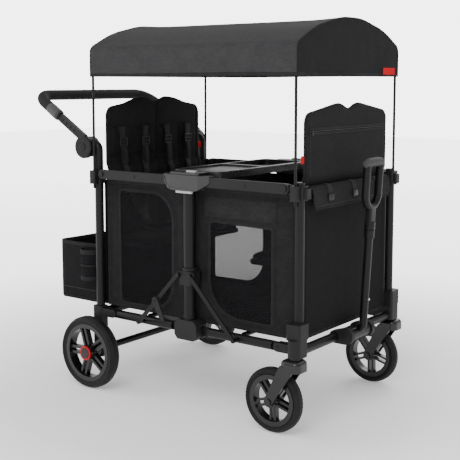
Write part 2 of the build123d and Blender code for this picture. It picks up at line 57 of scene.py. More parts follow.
def middle(node):
    low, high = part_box(node)
    return (low + high) / 2


CENTER_X = middle("center_posts").x


def at(x, y, z):
    """A point from millimetres measured forward from the centre posts, left and up."""
    return Vector((CENTER_X + x * MM, y * MM, z * MM))


# ------------------------------------------------------------------ camera, light and floor
# name, place, size in metres, power in watts
LAMPS = (
    ("key", (1.2, -3.4, 3.6), 2.2, 90),
    ("fill", (-3.2, -2.2, 2.4), 2.6, 40),
    ("rim", (-0.5, 3.4, 2.8), 2.4, 60),
)


def studio():
    camera = bpy.data.objects.new("camera", bpy.data.cameras.new("camera"))
    bpy.context.scene.collection.objects.link(camera)
    yaw, pitch = radians(36.94), radians(6.22)
    look = Vector((-sin(yaw) * cos(pitch), cos(yaw) * cos(pitch), -sin(pitch)))
    camera.location = at(1935, -2653, 1075)
    camera.rotation_euler = look.to_track_quat("-Z", "Y").to_euler()
    camera.data.sensor_width = 36
    camera.data.lens = 74
    camera.data.shift_y = -0.098
    camera.data.clip_end = 60
    bpy.context.scene.camera = camera

    mesh = bpy.data.meshes.new("floor")
    half = 14
    corners = [(-half, -half, 0), (half, -half, 0), (half, half, 0), (-half, half, 0)]
    mesh.from_pydata(corners, [], [(0, 1, 2, 3)])
    floor = bpy.data.objects.new("floor", mesh)
    bpy.context.scene.collection.objects.link(floor)
    floor.data.materials.append(floor_material())
    bpy.context.scene.world = white_world()
    for name, place, size, power in LAMPS:
        lamp = bpy.data.objects.new(name, bpy.data.lights.new(name, "AREA"))
        lamp.data.size = size
        lamp.data.energy = power
        lamp.location = place
        lamp.rotation_euler = (Vector((0, 0, 0.6)) - Vector(place)).to_track_quat("-Z", "Y").to_euler()
        bpy.context.scene.collection.objects.link(lamp)


def floor_material():
    """Pale floor that glows more with distance, so that it runs into the white background.

    The camera alone sees a further glow, which starts outside the wagon's own shadow.
    """
    pale, tree, shader = new_material("studio_floor")
    shader.inputs["Base Color"].default_value = (0.9, 0.9, 0.9, 1)
    shader.inputs["Roughness"].default_value = 0.9
    shader.inputs["Specular IOR Level"].default_value = 0.1
    shader.inputs["Emission Color"].default_value = (1, 1, 1, 1)
    coords = tree.nodes.new("ShaderNodeTexCoord")
    away = tree.nodes.new("ShaderNodeVectorMath")
    away.operation = "LENGTH"
    tree.links.new(coords.outputs["Object"], away.inputs[0])
    glow = ramp(tree, away.outputs["Value"], 0.3, 2.0, 1.2, 7.5)
    halo = ramp(tree, away.outputs["Value"], 0.0, 1.4, 0.75, 2.2)
    rays = tree.nodes.new("ShaderNodeLightPath")
    strength = tree.nodes.new("ShaderNodeMath")
    strength.operation = "MULTIPLY_ADD"
    tree.links.new(halo, strength.inputs[0])
    tree.links.new(rays.outputs["Is Camera Ray"], strength.inputs[1])
    tree.links.new(glow, strength.inputs[2])
    tree.links.new(strength.outputs[0], shader.inputs["Emission Strength"])
    return pale


def white_world():
    """Soft white light all round, seen by the camera as a brighter white background."""
    world = bpy.data.worlds.new("studio")
    world.use_nodes = True
    tree = world.node_tree
    light = tree.nodes["Background"]
    light.inputs["Color"].default_value = (1, 1, 1, 1)
    light.inputs["Strength"].default_value = 0.85
    seen = tree.nodes.new("ShaderNodeBackground")
    seen.inputs["Color"].default_value = (1, 1, 1, 1)
    seen.inputs["Strength"].default_value = 5.0
    rays = tree.nodes.new("ShaderNodeLightPath")
    mix = tree.nodes.new("ShaderNodeMixShader")
    tree.links.new(rays.outputs["Is Camera Ray"], mix.inputs[0])
    tree.links.new(light.outputs[0], mix.inputs[1])
    tree.links.new(seen.outputs[0], mix.inputs[2])
    tree.links.new(mix.outputs[0], tree.nodes["World Output"].inputs["Surface"])
    return world


# ------------------------------------------------------------------ materials
def new_material(name):
    material = bpy.data.materials.new(name)
    material.use_nodes = True
    tree = material.node_tree
    return material, tree, tree.nodes["Principled BSDF"]


def texture(tree, kind, scale, stretch=None, **values):
    """A texture node fed with object coordinates in metres. Returns its first output."""
    coords = tree.nodes.new("ShaderNodeTexCoord")
    node = tree.nodes.new(kind)
    source = coords.outputs["Object"]
    if stretch:
        mapping = tree.nodes.new("ShaderNodeMapping")
        mapping.inputs["Scale"].default_value = stretch
        tree.links.new(source, mapping.inputs["Vector"])
        source = mapping.outputs["Vector"]
    tree.links.new(source, node.inputs["Vector"])
    node.inputs["Scale"].default_value = scale
    for key, value in values.items():
        if key in node.inputs:
            node.inputs[key].default_value = value
        else:
            setattr(node, key, value)
    return node.outputs["Distance"] if kind == "ShaderNodeTexVoronoi" else node.outputs[0]


def ramp(tree, source, low, high, start=0.35, end=0.65):
    """Map a 0 to 1 source to a range, as a grey value."""
    node = tree.nodes.new("ShaderNodeMapRange")
    node.inputs["From Min"].default_value = start
    node.inputs["From Max"].default_value = end
    node.inputs["To Min"].default_value = low
    node.inputs["To Max"].default_value = high
    tree.links.new(source, node.inputs["Value"])
    return node.outputs[0]


def tint(tree, source, dark, light, start=0.3, end=0.7):
    """Mix two colours by a source."""
    node = tree.nodes.new("ShaderNodeValToRGB")
    node.color_ramp.elements[0].position = start
    node.color_ramp.elements[1].position = end
    node.color_ramp.elements[0].color = (*dark, 1)
    node.color_ramp.elements[1].color = (*light, 1)
    tree.links.new(source, node.inputs["Fac"])
    return node.outputs["Color"]


def relief(tree, shader, source, height, strength=1.0, under=None):
    """Bump from a source, height in metres. Returns the normal, so that another relief can lie on it."""
    node = tree.nodes.new("ShaderNodeBump")
    node.inputs["Distance"].default_value = height
    node.inputs["Strength"].default_value = strength
    tree.links.new(source, node.inputs["Height"])
    if under:
        tree.links.new(under, node.inputs["Normal"])
    tree.links.new(node.outputs["Normal"], shader.inputs["Normal"])
    return node.outputs["Normal"]


def plastic(name, dark, light, roughness, grain=0.00012, coat=0.0, gloss=0.2):
    """Moulded plastic: fine texture grain, slow colour drift, roughness that varies a little."""
    material, tree, shader = new_material(name)
    drift = texture(tree, "ShaderNodeTexNoise", 14, Detail=4)
    fine = texture(tree, "ShaderNodeTexNoise", 1400, Detail=2)
    tree.links.new(tint(tree, drift, dark, light), shader.inputs["Base Color"])
    tree.links.new(ramp(tree, drift, roughness - 0.05, roughness + 0.07), shader.inputs["Roughness"])
    shader.inputs["Specular IOR Level"].default_value = gloss
    if coat:
        shader.inputs["Coat Weight"].default_value = coat
        shader.inputs["Coat Roughness"].default_value = 0.2
    relief(tree, shader, fine, grain, 0.6)
    return material


def powder_coat(name, dark, light, roughness=0.42):
    """Painted tube: orange-peel relief under a satin paint."""
    material, tree, shader = new_material(name)
    drift = texture(tree, "ShaderNodeTexNoise", 9, Detail=5)
    peel = texture(tree, "ShaderNodeTexNoise", 650, Detail=1)
    tree.links.new(tint(tree, drift, dark, light), shader.inputs["Base Color"])
    tree.links.new(ramp(tree, drift, roughness - 0.04, roughness + 0.08), shader.inputs["Roughness"])
    shader.inputs["Specular IOR Level"].default_value = 0.2
    relief(tree, shader, peel, 0.00008, 0.5)
    return material


def rubber(name, dark, light, roughness, grain_scale=900, grain=0.0002):
    material, tree, shader = new_material(name)
    drift = texture(tree, "ShaderNodeTexNoise", 22, Detail=5)
    fine = texture(tree, "ShaderNodeTexVoronoi", grain_scale)
    tree.links.new(tint(tree, drift, dark, light), shader.inputs["Base Color"])
    tree.links.new(ramp(tree, drift, roughness - 0.06, roughness + 0.06), shader.inputs["Roughness"])
    shader.inputs["Specular IOR Level"].default_value = 0.18
    relief(tree, shader, fine, grain, 0.7)
    return material


def steel(name, colour, roughness):
    material, tree, shader = new_material(name)
    brush = texture(tree, "ShaderNodeTexNoise", 60, stretch=(1, 30, 30), Detail=4)
    tree.links.new(tint(tree, brush, [c * 0.85 for c in colour], colour), shader.inputs["Base Color"])
    tree.links.new(ramp(tree, brush, roughness - 0.08, roughness + 0.1), shader.inputs["Roughness"])
    shader.inputs["Metallic"].default_value = 1
    return material


def woven(name, dark, light, thread=0.0009, roughness=0.85, sheen=0.02, mottling=30):
    """Plain-weave cloth: crossing threads as relief, mottled dye, soft sheen."""
    material, tree, shader = new_material(name)
    mottle = texture(tree, "ShaderNodeTexNoise", mottling, Detail=6)
    slub = texture(tree, "ShaderNodeTexNoise", 260, stretch=(0.25, 0.25, 1), Detail=3)
    mixed = tree.nodes.new("ShaderNodeMath")
    mixed.operation = "MULTIPLY_ADD"
    mixed.inputs[1].default_value = 0.45
    tree.links.new(slub, mixed.inputs[0])
    half = tree.nodes.new("ShaderNodeMath")
    half.operation = "MULTIPLY"
    half.inputs[1].default_value = 0.55
    tree.links.new(mottle, half.inputs[0])
    tree.links.new(half.outputs[0], mixed.inputs[2])
    tree.links.new(tint(tree, mixed.outputs[0], dark, light, 0.36, 0.64), shader.inputs["Base Color"])
    tree.links.new(ramp(tree, mottle, roughness - 0.06, roughness + 0.05), shader.inputs["Roughness"])
    shader.inputs["Sheen Weight"].default_value = sheen
    shader.inputs["Specular IOR Level"].default_value = 0.1
    shader.inputs["Sheen Roughness"].default_value = 0.5
    waves = []
    for axis in ("X", "Y", "Z"):
        wave = texture(tree, "ShaderNodeTexWave", 1 / thread / 2, bands_direction=axis, Distortion=0.4)
        waves.append(wave)
    weave = tree.nodes.new("ShaderNodeMath")
    weave.operation = "ADD"
    tree.links.new(waves[0], weave.inputs[0])
    tree.links.new(waves[1], weave.inputs[1])
    total = tree.nodes.new("ShaderNodeMath")
    total.operation = "ADD"
    tree.links.new(weave.outputs[0], total.inputs[0])
    tree.links.new(waves[2], total.inputs[1])
    base = relief(tree, shader, total.outputs[0], thread * 0.12, 0.8)
    relief(tree, shader, mottle, 0.0006, 0.5, under=base)
    return material


def netting(name, colour, cell=0.0022, cover=0.48):
    """Window mesh: an evenly see-through sheet with a dark pattern of small cells in relief."""
    material, tree, shader = new_material(name)
    cells = texture(tree, "ShaderNodeTexVoronoi", 1 / cell)
    threads = [c * 1.6 for c in colour]
    tree.links.new(tint(tree, cells, threads, colour, 0.1, 0.5), shader.inputs["Base Color"])
    shader.inputs["Alpha"].default_value = cover
    shader.inputs["Roughness"].default_value = 0.8
    shader.inputs["Specular IOR Level"].default_value = 0.06
    relief(tree, shader, cells, cell * 0.2, 0.6)
    return material


def webbing(name, dark, light, rib=0.0016):
    material, tree, shader = new_material(name)
    ribs = texture(tree, "ShaderNodeTexWave", 1 / rib / 2, bands_direction="DIAGONAL", Distortion=0.2)
    mottle = texture(tree, "ShaderNodeTexNoise", 90, Detail=4)
    tree.links.new(tint(tree, mottle, dark, light), shader.inputs["Base Color"])
    tree.links.new(ramp(tree, mottle, 0.62, 0.74), shader.inputs["Roughness"])
    shader.inputs["Sheen Weight"].default_value = 0.03
    shader.inputs["Specular IOR Level"].default_value = 0.12
    relief(tree, shader, ribs, rib * 0.25, 0.8)
    return material


MATERIALS = {
    "powder_coat": powder_coat("black_powder_coat", (0.0045, 0.0045, 0.005), (0.0085, 0.0085, 0.009), 0.34),
    "rail": powder_coat("satin_rail_paint", (0.010, 0.010, 0.011), (0.016, 0.016, 0.017)),
    "arm": plastic("satin_arm_coat", (0.0045, 0.0045, 0.005), (0.008, 0.008, 0.0085), 0.4, gloss=0.2),
    "hub": plastic("hub_moulding", (0.015, 0.015, 0.016), (0.025, 0.025, 0.026), 0.36, gloss=0.5),
    "moulding": plastic("textured_moulding", (0.010, 0.010, 0.011), (0.018, 0.018, 0.019), 0.5),
    "gloss": plastic("satin_moulding", (0.004, 0.004, 0.0045), (0.008, 0.008, 0.0085), 0.24, gloss=0.5),
    "tray": plastic("tray_moulding", (0.012, 0.012, 0.013), (0.020, 0.020, 0.021), 0.3, gloss=0.5),
    "grey": plastic("light_grey_moulding", (0.42, 0.43, 0.44), (0.5, 0.51, 0.52), 0.45),
    "red": plastic("red_trim", (0.42, 0.004, 0.008), (0.52, 0.007, 0.011), 0.4),
    "tyre": rubber("tyre_rubber", (0.008, 0.008, 0.008), (0.016, 0.016, 0.016), 0.56),
    "foam": rubber("grip_foam", (0.010, 0.010, 0.011), (0.020, 0.020, 0.021), 0.78, 520, 0.0004),
    "steel": steel("axle_steel", (0.62, 0.63, 0.65), 0.32),
    "cloth": woven("wall_cloth", (0.006, 0.006, 0.007), (0.011, 0.011, 0.012)),
    "side_cloth": woven("side_wall_cloth", (0.011, 0.011, 0.012), (0.020, 0.020, 0.021)),
    "canopy": woven("canopy_cloth", (0.030, 0.030, 0.0315), (0.042, 0.042, 0.0435)),
    "seat": woven("seat_cloth", (0.009, 0.009, 0.010), (0.016, 0.016, 0.017)),
    "lining": woven("window_binding", (0.013, 0.013, 0.014), (0.023, 0.023, 0.024)),
    "net": netting("window_net", (0.010, 0.010, 0.011)),
    "webbing": webbing("strap_webbing", (0.010, 0.010, 0.011), (0.022, 0.022, 0.023)),
    "canopy_end": woven("canopy_end_cloth", (0.0085, 0.0085, 0.0095), (0.015, 0.015, 0.016)),
    "header": woven("header_cloth", (0.015, 0.015, 0.016), (0.026, 0.026, 0.027)),
    "flap": woven("flap_cloth", (0.011, 0.011, 0.012), (0.020, 0.020, 0.021)),
    "quilt": woven("quilted_cloth", (0.0075, 0.0075, 0.0085), (0.0135, 0.0135, 0.0145)),
    "net_dense": netting("pocket_net", (0.010, 0.010, 0.011), cover=0.88),
    "thread": webbing("seam_thread", (0.035, 0.035, 0.036), (0.055, 0.055, 0.056), rib=0.003),
    "gloss_key": plastic("buckle_moulding", (0.012, 0.012, 0.013), (0.020, 0.020, 0.021), 0.34),
    "grey_key": plastic("buckle_button", (0.05, 0.05, 0.052), (0.07, 0.07, 0.072), 0.4),
    "grip": plastic("soft_grip", (0.045, 0.045, 0.047), (0.065, 0.065, 0.067), 0.5, grain=0.0003),
    "band": rubber("smooth_sleeve", (0.045, 0.045, 0.047), (0.075, 0.075, 0.077), 0.45),
    "label": woven("red_label", (0.44, 0.004, 0.008), (0.54, 0.007, 0.011), thread=0.0006),
}

NODE_MATERIALS = {
    "powder_coat": ("rear_end_frame front_end_frame rear_bottom_rails front_bottom_rails center_posts "
                    "front_braces rear_braces rear_canopy_hoop front_canopy_hoop push_handle_bar "
                    "pull_handle_tube rear_axle"),
    "rail": "rear_top_rails front_top_rails",
    "steel": "snap_button",
    "moulding": ("rear_castings front_castings rear_corner_brackets front_corner_brackets "
                 "handle_pivot_housings brake_pedal lower_hubs brace_collars fold_lock_lever "
                 "pull_handle_mount"),
    "arm": "push_handle_arms pivot_button_left pivot_button_right pull_grip_yoke",
    "hub": "center_hubs",
    "gloss": ("caster_fork_left caster_fork_right caster_wheel_left caster_wheel_right rear_wheel_left "
              "rear_wheel_right"),
    "tray": "snack_tray",
    "tyre": "caster_tyre_left caster_tyre_right rear_tyre_left rear_tyre_right",
    "foam": "push_handle_grip pull_grip_bar",
    "red": "rear_hub_ring_left rear_hub_ring_right",
    "grey": "tray_latches fold_release",
    "cloth": ("rear_end_panel front_end_panel front_pocket_flap front_side_panels rear_side_panels "
              "storage_basket"),
    "seat": "rear_floor_board front_floor_board rear_seat_back front_seat_back rear_seat_pan front_seat_pan",
    "canopy": "canopy_cover",
}


def paint_nodes():
    for key, names in NODE_MATERIALS.items():
        for name in names.split():
            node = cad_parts[name]
            node.data.materials.clear()
            node.data.materials.append(MATERIALS[key])


# ------------------------------------------------------------------ cloth building kit
def noise(points, seed, scale, octaves=3):
    """Smooth repeatable noise from -1 to 1 for an array of points in millimetres: crossed sine waves."""
    rng = np.random.default_rng(seed)
    total = np.zeros(points.shape[:-1])
    for octave in range(octaves):
        for _ in range(5):
            direction = rng.normal(size=3)
            direction /= np.linalg.norm(direction)
            phase = rng.uniform(0, 2 * pi)
            total += np.sin(points @ direction * 2 * pi * 2 ** octave / scale + phase) / 2 ** octave / 5
    return total


def falloff(distance, width):
    """0 at an edge, 1 well inside it."""
    return 1 - np.exp(-np.square(np.maximum(distance, 0) / width))


def groove(distance, width):
    """1 on a seam line, 0 away from it."""
    return np.exp(-np.square(distance / width))


def rounded(corners, radii, step=6):
    """Closed loop of 2-D points: straight sides with arcs at the corners, about step apart."""
    loop = []
    count = len(corners)
    for index in range(count):
        here = np.array(corners[index], float)
        before, after = np.array(corners[index - 1], float), np.array(corners[(index + 1) % count], float)
        a, b = (before - here) / np.linalg.norm(before - here), (after - here) / np.linalg.norm(after - here)
        radius = radii[index]
        cut = radius / np.tan(np.arccos(np.clip(a @ b, -1, 1)) / 2) if radius else 0
        if not cut:
            loop.append(here)
            continue
        middle_way = (a + b) / np.linalg.norm(a + b)
        centre = here + middle_way * sqrt(cut ** 2 + radius ** 2)
        start, end = here + a * cut - centre, here + b * cut - centre
        turn = np.arctan2(start[0] * end[1] - start[1] * end[0], start @ end)
        for share in np.linspace(0, 1, max(3, int(abs(turn) * radius / step) + 1)):
            c, s = cos(turn * share), sin(turn * share)
            loop.append(centre + np.array([c * start[0] - s * start[1], s * start[0] + c * start[1]]))
    return respaced(np.array(loop), step, True)


def respaced(line, step, closed=False):
    """The same line with evenly spaced points."""
    line = np.asarray(line, float)
    if closed:
        line = np.vstack([line, line[:1]])
    lengths = np.concatenate([[0], np.cumsum(np.linalg.norm(np.diff(line, axis=0), axis=1))])
    count = max(3, int(lengths[-1] / step))
    spots = np.linspace(0, lengths[-1], count + 1)
    if closed:
        spots = spots[:-1]
    return np.stack([np.interp(spots, lengths, line[:, k]) for k in range(line.shape[1])], axis=1)


def edge_distance(points, loop):
    """Signed distance from 2-D points to a closed loop, positive inside."""
    a, b = loop, np.roll(loop, -1, axis=0)
    flat = points.reshape(-1, 2)
    best = np.full(len(flat), 1e9)
    inside = np.zeros(len(flat), bool)
    for start, end in zip(a, b):
        run = end - start
        share = np.clip(((flat - start) @ run) / max(run @ run, 1e-12), 0, 1)
        best = np.minimum(best, np.linalg.norm(flat - start - share[:, None] * run, axis=1))
        crosses = (start[1] > flat[:, 1]) != (end[1] > flat[:, 1])
        with np.errstate(divide="ignore", invalid="ignore"):
            edge_x = start[0] + (flat[:, 1] - start[1]) * run[0] / run[1]
        inside ^= crosses & (flat[:, 0] < edge_x)
    return np.where(inside, best, -best).reshape(points.shape[:-1])


def level_arc(x, y, z, radius, angles):
    """Points at the given angles on a level circle."""
    return np.stack([x + radius * np.cos(angles), y + radius * np.sin(angles),
                     np.full(len(angles), z)], axis=1)


class Piece:
    """One visual piece built up from sheets, tubes and tapes, in millimetres of the wagon's layout."""

    def __init__(self, name):
        self.name, self.points, self.faces, self.marks, self.keys = name, [], [], [], []

    def mark(self, key):
        if key not in self.keys:
            self.keys.append(key)
        return self.keys.index(key)

    def add(self, points, faces, key):
        base = len(self.points)
        self.points.extend(np.asarray(points, float).reshape(-1, 3).tolist())
        mark = self.mark(key) if isinstance(key, str) else None
        for index, face in enumerate(faces):
            self.faces.append([base + v for v in face])
            self.marks.append(mark if mark is not None else self.mark(key[index]))

    def sheet(self, grid, key, thick=1.0, keep=None, wrap=False):
        """Closed cloth of two layers from an (n, m, 3) grid.

        keep says which cells are cloth, and key may be an array of material names for the cells.
        """
        grid = np.asarray(grid, float)
        n, m = grid.shape[:2]
        normals = normals_of(grid, wrap)
        outer, inner = grid + normals * thick / 2, grid - normals * thick / 2
        cells_n = n if wrap else n - 1
        keep = np.ones((cells_n, m - 1), bool) if keep is None else keep
        faces, keys = [], []
        count = n * m

        def name_of(i, j):
            return key if isinstance(key, str) else key[i][j]

        for i in range(cells_n):
            i2 = (i + 1) % n
            for j in range(m - 1):
                if not keep[i, j]:
                    continue
                a, b, c, d = i * m + j, i2 * m + j, i2 * m + j + 1, i * m + j + 1
                faces += [(a, b, c, d), (count + d, count + c, count + b, count + a)]
                keys += [name_of(i, j)] * 2
                rim = ((a, b, i, j - 1), (b, c, i + 1, j), (c, d, i, j + 1), (d, a, i - 1, j))
                for p, q, oi, oj in rim:
                    if wrap:
                        oi %= n
                    if not (0 <= oi < cells_n and 0 <= oj < m - 1) or not keep[oi, oj]:
                        faces.append((q, p, count + p, count + q))
                        keys.append(name_of(i, j))
        self.add(np.concatenate([outer.reshape(-1, 3), inner.reshape(-1, 3)]), faces, keys)

    def pillow(self, front, back, front_key, back_key):
        """Closed pad between two (n, m, 3) grids that share their outline."""
        n, m = front.shape[:2]
        count = n * m
        faces, keys = [], []
        for i in range(n - 1):
            for j in range(m - 1):
                a, b, c, d = i * m + j, (i + 1) * m + j, (i + 1) * m + j + 1, i * m + j + 1
                faces += [(a, b, c, d), (count + d, count + c, count + b, count + a)]
                keys += [front_key, back_key]
        rim = [i * m for i in range(n)] + [(n - 1) * m + j for j in range(1, m)]
        rim += [i * m + m - 1 for i in range(n - 2, -1, -1)] + list(range(m - 2, 0, -1))
        for p, q in zip(rim, rim[1:] + rim[:1]):
            faces.append((q, p, count + p, count + q))
            keys.append(back_key)
        self.add(np.concatenate([front.reshape(-1, 3), back.reshape(-1, 3)]), faces, keys)

    def tube(self, line, radius, key, sides=8, closed=False, flatten=1.0, up=(0, 0, 1)):
        """Piping or cord along a line. radius may be one per point; flatten squashes it along up."""
        line = np.asarray(line, float)
        count = len(line)
        if closed:
            tangent = np.roll(line, -1, axis=0) - np.roll(line, 1, axis=0)
        else:
            tangent = np.gradient(line, axis=0)
        tangent /= np.maximum(np.linalg.norm(tangent, axis=1, keepdims=True), 1e-9)
        up = np.broadcast_to(np.asarray(up, float), line.shape)
        side = np.cross(tangent, up)
        weak = np.linalg.norm(side, axis=1) < 0.05
        side[weak] = np.cross(tangent[weak], (0.3, 0.9, 0.2))
        side /= np.linalg.norm(side, axis=1, keepdims=True)
        lift = np.cross(side, tangent)
        radius = np.broadcast_to(np.asarray(radius, float), (count,))
        rings = []
        for turn in np.linspace(0, 2 * pi, sides, endpoint=False):
            rings.append(line + radius[:, None] * (side * cos(turn) + lift * sin(turn) * flatten))
        rings = np.stack(rings, axis=1)
        faces = []
        for i in range(count if closed else count - 1):
            i2 = (i + 1) % count
            for j in range(sides):
                j2 = (j + 1) % sides
                faces.append((i * sides + j, i * sides + j2, i2 * sides + j2, i2 * sides + j))
        if not closed:
            faces.append(tuple(range(sides))[::-1])
            faces.append(tuple((count - 1) * sides + j for j in range(sides)))
        self.add(rings, faces, key)

    def tape(self, line, normal, width, thick, key, closed=False, crown=0.0):
        """Flat webbing or binding along a line: a rounded rectangle, its face towards normal."""
        line = np.asarray(line, float)
        count = len(line)
        normal = np.broadcast_to(np.asarray(normal, float), line.shape)
        if closed:
            tangent = np.roll(line, -1, axis=0) - np.roll(line, 1, axis=0)
        else:
            tangent = np.gradient(line, axis=0)
        tangent /= np.maximum(np.linalg.norm(tangent, axis=1, keepdims=True), 1e-9)
        side = np.cross(tangent, normal)
        side /= np.maximum(np.linalg.norm(side, axis=1, keepdims=True), 1e-9)
        face = np.cross(side, tangent)
        half, rise = width / 2, thick / 2
        shape = [(-half, -rise * 0.5), (-half, rise * 0.5), (-half + rise, rise), (-half * 0.3, rise + crown),
                 (half * 0.3, rise + crown), (half - rise, rise), (half, rise * 0.5), (half, -rise * 0.5),
                 (half - rise, -rise), (-half + rise, -rise)]
        rings = np.stack([line + side * a + face * b for a, b in shape], axis=1)
        sides = len(shape)
        faces = []
        for i in range(count if closed else count - 1):
            i2 = (i + 1) % count
            for j in range(sides):
                j2 = (j + 1) % sides
                faces.append((i * sides + j, i2 * sides + j, i2 * sides + j2, i * sides + j2))
        if not closed:
            faces.append(tuple(range(sides)))
            faces.append(tuple((count - 1) * sides + j for j in range(sides))[::-1])
        self.add(rings, faces, key)

    def slab(self, corner, size, key, edge=1.5, turn=None):
        """Small moulding: a block with chamfered edges, centred on corner, turned by a 3 x 3 matrix."""
        bm = bmesh.new()
        bmesh.ops.create_cube(bm, size=1)
        bmesh.ops.scale(bm, vec=size, verts=bm.verts)
        bmesh.ops.bevel(bm, geom=bm.edges[:], offset=min(edge, min(size) * 0.45), segments=2, profile=0.6,
                        affect="EDGES")
        points = np.array([v.co for v in bm.verts])
        faces = [[v.index for v in f.verts] for f in bm.faces]
        bm.free()
        if turn is not None:
            points = points @ np.asarray(turn).T
        self.add(points + np.asarray(corner, float), faces, key)

    def build(self, body, smooth=55):
        mesh = bpy.data.meshes.new(self.name)
        points = np.array(self.points) * MM
        points[:, 0] += CENTER_X
        mesh.from_pydata(points.tolist(), [], self.faces)
        for key in self.keys:
            mesh.materials.append(MATERIALS[key])
        mesh.polygons.foreach_set("material_index", self.marks)
        mesh.validate()
        bm = bmesh.new()
        bm.from_mesh(mesh)
        bmesh.ops.recalc_face_normals(bm, faces=bm.faces)
        bm.to_mesh(mesh)
        bm.free()
        mesh.shade_smooth()
        mesh.set_sharp_from_angle(angle=radians(smooth))
        piece = bpy.data.objects.new(self.name, mesh)
        bpy.context.scene.collection.objects.link(piece)
        if body:
            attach(piece, body)
        return piece


def normals_of(grid, wrap=False):
    if wrap:
        along = np.roll(grid, -1, axis=0) - np.roll(grid, 1, axis=0)
    else:
        along = np.gradient(grid, axis=0)
    across = np.gradient(grid, axis=1)
    normals = np.cross(along, across)
    return normals / np.maximum(np.linalg.norm(normals, axis=2, keepdims=True), 1e-9)


# ------------------------------------------------------------------ canopy
HOOP_X, CLOTH_Y, HEM_Z = 423, 317.5, 1094


def canopy_arch(count=150):
    """Section of the canopy cloth from hem to hem: (y, z) points."""
    corners = [(-CLOTH_Y, HEM_Z), (-CLOTH_Y, 1191), (-210, 1243), (-62, 1276), (62, 1276), (210, 1243),
               (CLOTH_Y, 1191), (CLOTH_Y, HEM_Z)]
    line = [np.array(corners[0], float)]
    for index, radius in ((1, 32), (2, 380), (3, 380), (4, 380), (5, 380), (6, 32)):
        here = np.array(corners[index], float)
        a = np.array(corners[index - 1]) - here
        b = np.array(corners[index + 1]) - here
        a, b = a / np.linalg.norm(a), b / np.linalg.norm(b)
        cut = min(radius / np.tan(np.arccos(a @ b) / 2), 70)
        p, q = here + a * cut, here + b * cut
        for share in np.linspace(0, 1, 9):
            line.append((1 - share) ** 2 * p + 2 * share * (1 - share) * here + share ** 2 * q)
    line.append(np.array(corners[-1], float))
    return respaced(np.array(line), 940 / count)


def canopy():
    arch = canopy_arch()
    n = len(arch)
    cover = Piece("canopy_cloth")
    across = np.linspace(-HOOP_X, HOOP_X, 131)
    y, z = arch[:, 0][None, :], arch[:, 1][None, :]
    x = across[:, None]
    grid = np.stack(np.broadcast_arrays(x, y, z), axis=2).astype(float)
    inside = falloff(HOOP_X - np.abs(x), 70) * np.ones_like(z)
    top = np.clip((z - 1150) / 90, 0, 1)
    side = 1 - top
    drape = noise(grid * (0.5, 1, 1), 3, 520, 3)
    grid[..., 2] -= inside * top * (5.0 + 2.2 * drape)
    hem = np.clip((z - HEM_Z) / 60, 0, 1)
    wave = noise(grid * (1, 1, 0.25), 8, 300, 3)
    grid[..., 1] -= np.sign(y) * inside * side * (2.2 + 1.6 * wave) * (0.35 + 0.65 * hem)
    grid[..., 2] += inside * side * 1.2 * np.sin(x / 130) * (1 - hem)
    ends = []
    for sign in (-1, 1):
        rows = 40
        share = np.linspace(0, 1, rows)[:, None]
        yy = arch[:, 0][None, :] * np.ones((rows, 1))
        top_z = arch[:, 1][None, :]
        level = HEM_Z + (top_z - HEM_Z) * share
        end = np.stack([np.full_like(yy, sign * HOOP_X), yy, level], axis=2)
        ends.append(end)
    cover.sheet(grid, "canopy", 1.4)
    for sign, end in zip((-1, 1), ends):
        from_top = falloff(end[-1:, :, 2] - end[..., 2], 30)
        edge = np.minimum(from_top, falloff(CLOTH_Y - np.abs(end[..., 1]), 40))
        creases = noise(end * (1, 1.0, 0.35) + (0, 0, 60), 21 + sign, 210, 4)
        creases += 0.5 * noise(end * (1, 0.5, 1.2), 31 + sign, 120, 3)
        bulge = edge * (1.2 + 2.6 * creases)
        end[..., 0] += sign * (bulge + 0.3)
        cover.sheet(end, "canopy_end", 1.4)
        loop = np.stack([np.full(n, sign * (HOOP_X + 0.8)), arch[:, 0], arch[:, 1]], axis=1)
        cover.tube(loop, 2.3, "lining", 8)
        hem_line = np.stack([np.full(60, sign * (HOOP_X + 0.9)), np.linspace(-CLOTH_Y, CLOTH_Y, 60),
                             np.full(60, HEM_Z + 4)], axis=1)
        cover.tape(hem_line, (sign, 0, 0), 11, 1.6, "lining")
    for sign in (-1, 1):
        column = grid[:, 0 if sign < 0 else -1].copy()
        column[:, 1] += sign * 0.9
        column[:, 2] = grid[:, 0 if sign < 0 else -1, 2] + 4
        cover.tape(column, (0, sign, 0), 11, 1.6, "lining")
    piece = cover.build("rear_canopy_frame")
    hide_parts("canopy_cover")
    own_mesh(piece)
    tag = Piece("canopy_label")
    tag_y, tag_z = np.linspace(205, 288, 16), np.linspace(1099, 1122, 6)
    patch = np.stack(np.meshgrid([HOOP_X + 4.2], tag_y, tag_z, indexing="ij"), axis=3)[0]
    patch[..., 0] += 0.8 * np.sin(patch[..., 1] / 14)
    tag.sheet(patch, "label", 1.0)
    piece = tag.build("rear_canopy_frame")
    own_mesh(piece)


# ------------------------------------------------------------------ side walls
PANEL_X0, PANEL_X1, PANEL_Z0, PANEL_Z1, PANEL_Y = 1, 400, 287, 735, 266
FRONT_WINDOW = rounded([(58, 318), (306, 314), (306, 624), (58, 628)], [120, 14, 12, 12])
REAR_WINDOW = rounded([(98, 306), (338, 304), (340, 702), (98, 704)], [92, 14, 14, 92])


